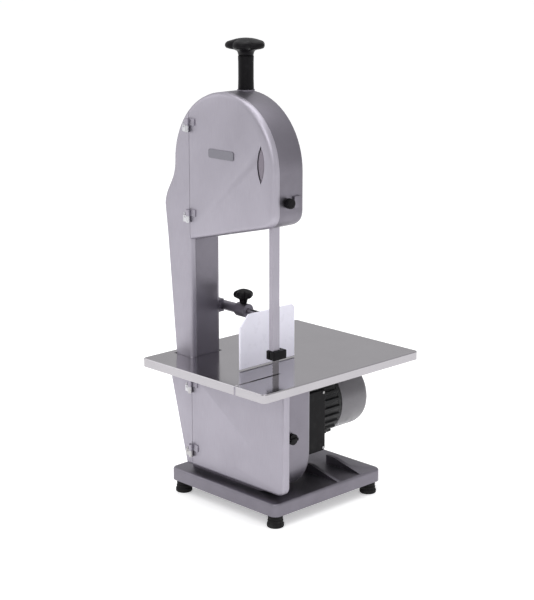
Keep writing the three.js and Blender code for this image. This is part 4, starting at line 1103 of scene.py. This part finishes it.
@dataclass
class Fasteners:
    """Low socket-head screws in the hinges' leaves and at the corners of the capacitor box's lid."""

    hinge_head: float = 1.8 * MM
    hinge_head_height: float = 0.7 * MM
    hinge_inset: float = 4 * MM
    hinge_spacing: float = 6.8 * MM

    @staticmethod
    def socket_heads(
        name: str, places: list[Vector], along: str, sign: float, body: str, radius: float, tall: float
    ) -> bpy.types.Object:
        """Rows of socket-head screws: a drum with a rounded rim and a recessed socket.

        Args:
            name: The piece's name.
            places: Points where the heads meet their face.
            along: Axis on which the heads stand, X, Y or Z.
            sign: Direction of the heads on that axis.
            body: Body that they move with.
            radius: Radius of a head.
            tall: Height of a head.

        Returns:
            The piece.
        """
        rows = np.array([[0.03, 0.0], [1.0, 0.0], [1.0, 0.8], [0.88, 1.0], [0.5, 1.0], [0.46, 0.45], [0.03, 0.4]])
        profile = rows * [radius, tall * sign]
        meshes = [grid_mesh(name, turned(profile, place, along, 24)) for place in places]
        mesh = merged(name, meshes)
        shade(mesh, 35)
        return finish_piece(linked(mesh, name), Finish.STEEL, body)

    def hinge_screws(self, node: str) -> bpy.types.Object:
        """Two low screws in the fixed leaf of a hinge.

        Args:
            node: The hinge's frame node.

        Returns:
            The screws as one piece.
        """
        low, _, middle = corners(node)
        face = self.leaf_front(node)
        half = self.hinge_spacing / 2
        places = [Vector((low.x + self.hinge_inset, face, middle.z + dz)) for dz in (-half, half)]
        name = f"{node}_screws"
        return self.socket_heads(name, places, "Y", -1, "frame", self.hinge_head, self.hinge_head_height)

    @staticmethod
    def leaf_front(node: str) -> float:
        """Front face of a hinge's leaf: its foremost point left of the barrel.

        Args:
            node: The hinge's frame node.

        Returns:
            The face's Y.
        """
        mesh = frame["nodes"][node].data
        points = np.empty(len(mesh.vertices) * 3)
        mesh.vertices.foreach_get("co", points)
        points = points.reshape(-1, 3)
        leaf = points[points[:, 0] < points[:, 0].min() + 1 * MM]
        return float(leaf[:, 1].min())


@dataclass
class Castings:
    """Base, lower housing, column, head, covers and doors."""

    soft: float = 0.9 * MM
    thin: float = 0.5 * MM

    def build(self) -> None:
        """Refines every casting, cover and door, and adds their screws."""
        for node in ("base_plate", "lower_housing", "column", "head_casting"):
            dress(node, self.soft)
        for node in ("column_cover", "lower_side_cover", "upper_door", "lower_door"):
            dress(node, self.thin)
        for node in ("upper_hinge_bottom", "upper_hinge_top", "lower_hinge_bottom", "lower_hinge_top"):
            dress(node, 0.3 * MM)
            Fasteners().hinge_screws(node)
        latch = dress("upper_door_latch", 0.8 * MM)
        latch.data.materials[0] = Paint("grey_latch_enamel", (0.15, 0.13, 0.16), 0.36, shine=0.5).build()
        dress("lower_door_latch", 0.8 * MM)
        badge = dress("upper_door_badge", 0.3 * MM)
        badge.data.materials[0] = Paint("grey_badge_enamel", (0.15, 0.145, 0.17), 0.38, shine=0.5).build()


@dataclass
class Workings:
    """Wheels, bearings, axle, carriage, rails, screw, spring, guides and scraper."""

    nodes: tuple[str, ...] = (
        "upper_wheel",
        "lower_wheel",
        "upper_bearing_front",
        "upper_bearing_rear",
        "upper_axle",
        "upper_axle_nut",
        "wheel_carriage",
        "carriage_rail_left",
        "carriage_rail_right",
        "tension_spring",
        "lower_wheel_bolt",
        "motor_bearing",
        "upper_guide",
        "lower_guide",
        "wheel_scraper",
        "guard_bracket",
        "blade_guard",
    )

    def build(self) -> None:
        """Refines each piece and makes the tension screw with its thread."""
        for node in self.nodes:
            dress(node, 0.3 * MM)
        self.screw()

    @staticmethod
    def screw(pitch: float = 2 * MM, depth: float = 1.1 * MM) -> bpy.types.Object:
        """Tension screw: radius r - depth * 2 |((h / pitch - a / 2 pi) mod 1) - 1/2| at height h and angle a.

        Args:
            pitch: Rise of the thread in one turn.
            depth: Depth of the thread.

        Returns:
            The piece.
        """
        low, high, middle = corners("tension_screw")
        r, h = (high.x - low.x) / 2, high.z - low.z
        height = np.linspace(0, h, int(h / pitch * 8))[:, None]
        angle = np.linspace(0, 2 * np.pi, 40, endpoint=False)[None, :]
        ridge = 2 * np.abs(np.mod(height / pitch - angle / (2 * np.pi), 1) - 0.5)
        taper = np.clip(height / (1.5 * MM), 0.75, 1)
        radius = (r - depth * ridge) * taper
        points = np.stack(
            [middle.x + radius * np.cos(angle), middle.y + radius * np.sin(angle), low.z + height + 0 * angle],
            axis=-1,
        )
        mesh = grid_mesh("tension_screw_finished", points)
        shade(mesh, 60)
        return finish_piece(linked(mesh, mesh.name), Finish.STEEL, BODY_OF["tension_screw"], "tension_screw")


@dataclass
class Motor:
    """Flange, finned body, end shield, shaft, fan, cowl, capacitor box and gland."""

    painted: tuple[str, ...] = ("motor_flange", "motor_body", "motor_end_shield", "fan_cowl")
    others: tuple[str, ...] = ("motor_shaft", "cooling_fan", "capacitor_box", "capacitor_lid", "cable_gland")

    def build(self) -> None:
        """Refines the motor's pieces and adds the screws that hold the lid and the cowl."""
        for node in self.painted:
            dress(node, 0.6 * MM)
        for node in self.others:
            dress(node, 0.5 * MM)
        self.lid_screws()
        self.cowl_screws()

    @staticmethod
    def lid_screws() -> bpy.types.Object:
        """Four screws at the corners of the capacitor box's lid.

        Returns:
            The screws as one piece.
        """
        low, high, _ = corners("capacitor_lid")
        inset = 6 * MM
        places = [
            Vector((high.x, y, z))
            for y in (low.y + inset, high.y - inset)
            for z in (low.z + inset, high.z - inset)
        ]
        return Fasteners().socket_heads("capacitor_lid_screws", places, "X", 1, "frame", 2.4 * MM, 1.2 * MM)

    @staticmethod
    def cowl_screws() -> bpy.types.Object:
        """Four screws round the cowl's front edge, at 45 degrees to the upright.

        Returns:
            The screws as one piece.
        """
        low, high, middle = corners("fan_cowl")
        r = (high.z - low.z) / 2
        spots = [math.radians(a) for a in (45, 135, 225, 315)]
        meshes = []
        for angle in spots:
            rows = np.array([[0.03, 0.0], [1.0, 0.0], [0.9, 0.6], [0.5, 1.0], [0.03, 1.0]]) * [2.6 * MM, 1.6 * MM]
            grid = turned(rows, Vector((0, 0, r - 0.2 * MM)), "Z", 24)
            turn = np.array(Matrix.Rotation(angle, 3, "Y"))
            places = grid @ turn.T + np.array([middle.x, low.y + 8 * MM, middle.z])
            meshes.append(grid_mesh("cowl_screw", places))
        mesh = merged("fan_cowl_screws", meshes)
        shade(mesh, 35)
        return finish_piece(linked(mesh, mesh.name), Finish.STEEL, "frame")


@dataclass
class Table:
    """Table, its supports, and the portion gauge."""

    def build(self) -> None:
        """Refines the table, the supports and the gauge, and makes the gauge's knob."""
        dress("table", 0.4 * MM)
        for node in ("table_support_left", "table_support_right", "gauge_bracket", "gauge_rod"):
            dress(node, 0.6 * MM)
        dress("gauge_plate", 0.8 * MM)
        GaugeKnob("gauge_lock_knob").finish()


@dataclass
class Controls:
    """Tension knob and sleeve, guard knob, switch box and buttons, and feet."""

    def build(self) -> None:
        """Makes the knobs, buttons and feet as turned or lobed surfaces."""
        StarKnob("tension_knob").dress()
        turned_pieces = TurnedPieces()
        turned_pieces.sleeve()
        turned_pieces.guard_knob()
        for node in ("foot_front_left", "foot_front_right", "foot_rear_left", "foot_rear_right"):
            turned_pieces.foot(node)
        dress("switch_box", 0.9 * MM)
        turned_pieces.button("start_button", Finish.GREEN, domed=False)
        turned_pieces.button("stop_button", Finish.RED, domed=True)


# ---------------------------------------------------------------- studio


@dataclass
class Studio:
    """Pale floor, soft lights, pale surroundings and the camera."""

    azimuth: float = 45.925
    elevation: float = 13.996
    station: tuple[float, float, float] = (1.99393, -1.96335, 1.06584)
    lens: float = 94.296

    def build(self) -> None:
        """Makes the whole studio."""
        self.floor()
        self.surroundings()
        self.light("key_panel", (1.6, -2.2, 2.6), 2.2, 40.0)
        self.light("fill_panel", (-2.6, -1.4, 1.8), 2.6, 22.0)
        self.light("side_panel", (2.8, 0.8, 1.2), 1.8, 7.0)
        self.light("top_panel", (0.0, 0.4, 3.2), 2.4, 45.0)
        self.camera()

    @staticmethod
    def floor(reach: float = 45.0) -> bpy.types.Object:
        """Flat pale floor that reaches past the edge of the picture: a level grid of points.

        Args:
            reach: Half of the floor's width in metres.

        Returns:
            The floor.
        """
        x, y = np.meshgrid(np.linspace(-reach, reach, 9), np.linspace(-reach, reach, 9))
        points = np.stack([x, y, 0 * x], axis=-1)
        rows, columns = x.shape
        index = np.arange(rows * columns).reshape(rows, columns)
        faces = np.stack([index[:-1, :-1], index[:-1, 1:], index[1:, 1:], index[1:, :-1]], axis=-1).reshape(-1, 4)
        mesh = bpy.data.meshes.new("floor")
        mesh.from_pydata(points.reshape(-1, 3), [], faces.tolist())
        shade(mesh)
        floor = linked(mesh, "floor")
        tree = Tree("pale_floor")
        cloud = tree.noise(0.5, 3.0)
        tree.colour(tree.blend(cloud, (0.90, 0.90, 0.90), (0.87, 0.87, 0.87)))
        tree.roughness(0.75 + (cloud - 0.5) * 0.1)
        tree.constants(Emission_Strength=0.36, Specular_IOR_Level=0.1)
        floor.data.materials.append(tree.material)
        return floor

    @staticmethod
    def surroundings() -> None:
        """Pale surroundings, brighter overhead and darker below the horizon."""
        world = bpy.data.worlds.new("studio")
        bpy.context.scene.world = world
        world.use_nodes = True
        nodes, links = world.node_tree.nodes, world.node_tree.links
        background = next(n for n in nodes if n.type == "BACKGROUND")
        place = nodes.new("ShaderNodeTexCoord")
        split = nodes.new("ShaderNodeSeparateXYZ")
        ramp = nodes.new("ShaderNodeValToRGB")
        ramp.color_ramp.elements[0].position = 0.40
        ramp.color_ramp.elements[0].color = (0.50, 0.49, 0.50, 1.0)
        ramp.color_ramp.elements[1].position = 0.75
        ramp.color_ramp.elements[1].color = (0.95, 0.95, 0.96, 1.0)
        shift = nodes.new("ShaderNodeMath")
        shift.operation = "MULTIPLY_ADD"
        shift.inputs[1].default_value = 0.5
        shift.inputs[2].default_value = 0.5
        links.new(place.outputs["Generated"], split.inputs[0])
        links.new(split.outputs["Z"], shift.inputs[0])
        links.new(shift.outputs[0], ramp.inputs[0])
        links.new(ramp.outputs[0], background.inputs["Color"])
        background.inputs["Strength"].default_value = 0.8

    @staticmethod
    def light(name: str, place: tuple[float, float, float], size: float, watts: float) -> bpy.types.Object:
        """Square soft light aimed at the middle of the saw.

        Args:
            name: The light's name.
            place: Where it hangs.
            size: Its side in metres.
            watts: Its power.

        Returns:
            The light.
        """
        data = bpy.data.lights.new(name, "AREA")
        data.shape = "SQUARE"
        data.size = size
        data.energy = watts
        lamp = bpy.data.objects.new(name, data)
        bpy.context.scene.collection.objects.link(lamp)
        lamp.location = place
        lamp.rotation_euler = (Vector((0, 0, 0.4)) - Vector(place)).to_track_quat("-Z", "Y").to_euler()
        return lamp

    def camera(self) -> bpy.types.Object:
        """Camera at its station, looking level across the saw from its front right corner.

        Returns:
            The camera.
        """
        data = bpy.data.cameras.new("camera")
        data.lens = self.lens
        data.sensor_width = 36.0
        eye = bpy.data.objects.new("camera", data)
        bpy.context.scene.collection.objects.link(eye)
        eye.location = self.station
        eye.rotation_euler = (math.radians(90 - self.elevation), 0.0, math.radians(self.azimuth))
        data.clip_start, data.clip_end = 0.05, 150.0
        bpy.context.scene.camera = eye
        return eye


def main() -> None:
    """Builds the sub-assemblies in order and reports each piece."""
    logging.basicConfig(level=logging.INFO, format="%(message)s")
    for part in (Castings(), Workings(), SawBand(), Motor(), Table(), Controls(), Studio()):
        before = set(bpy.data.objects)
        part.build()
        for piece in sorted(set(bpy.data.objects) - before, key=lambda made: made.name):
            LOG.info("%s: %s", type(part).__name__, piece.name)
    bpy.context.scene.view_settings.view_transform = "Standard"


if __name__ == "__main__":
    main()
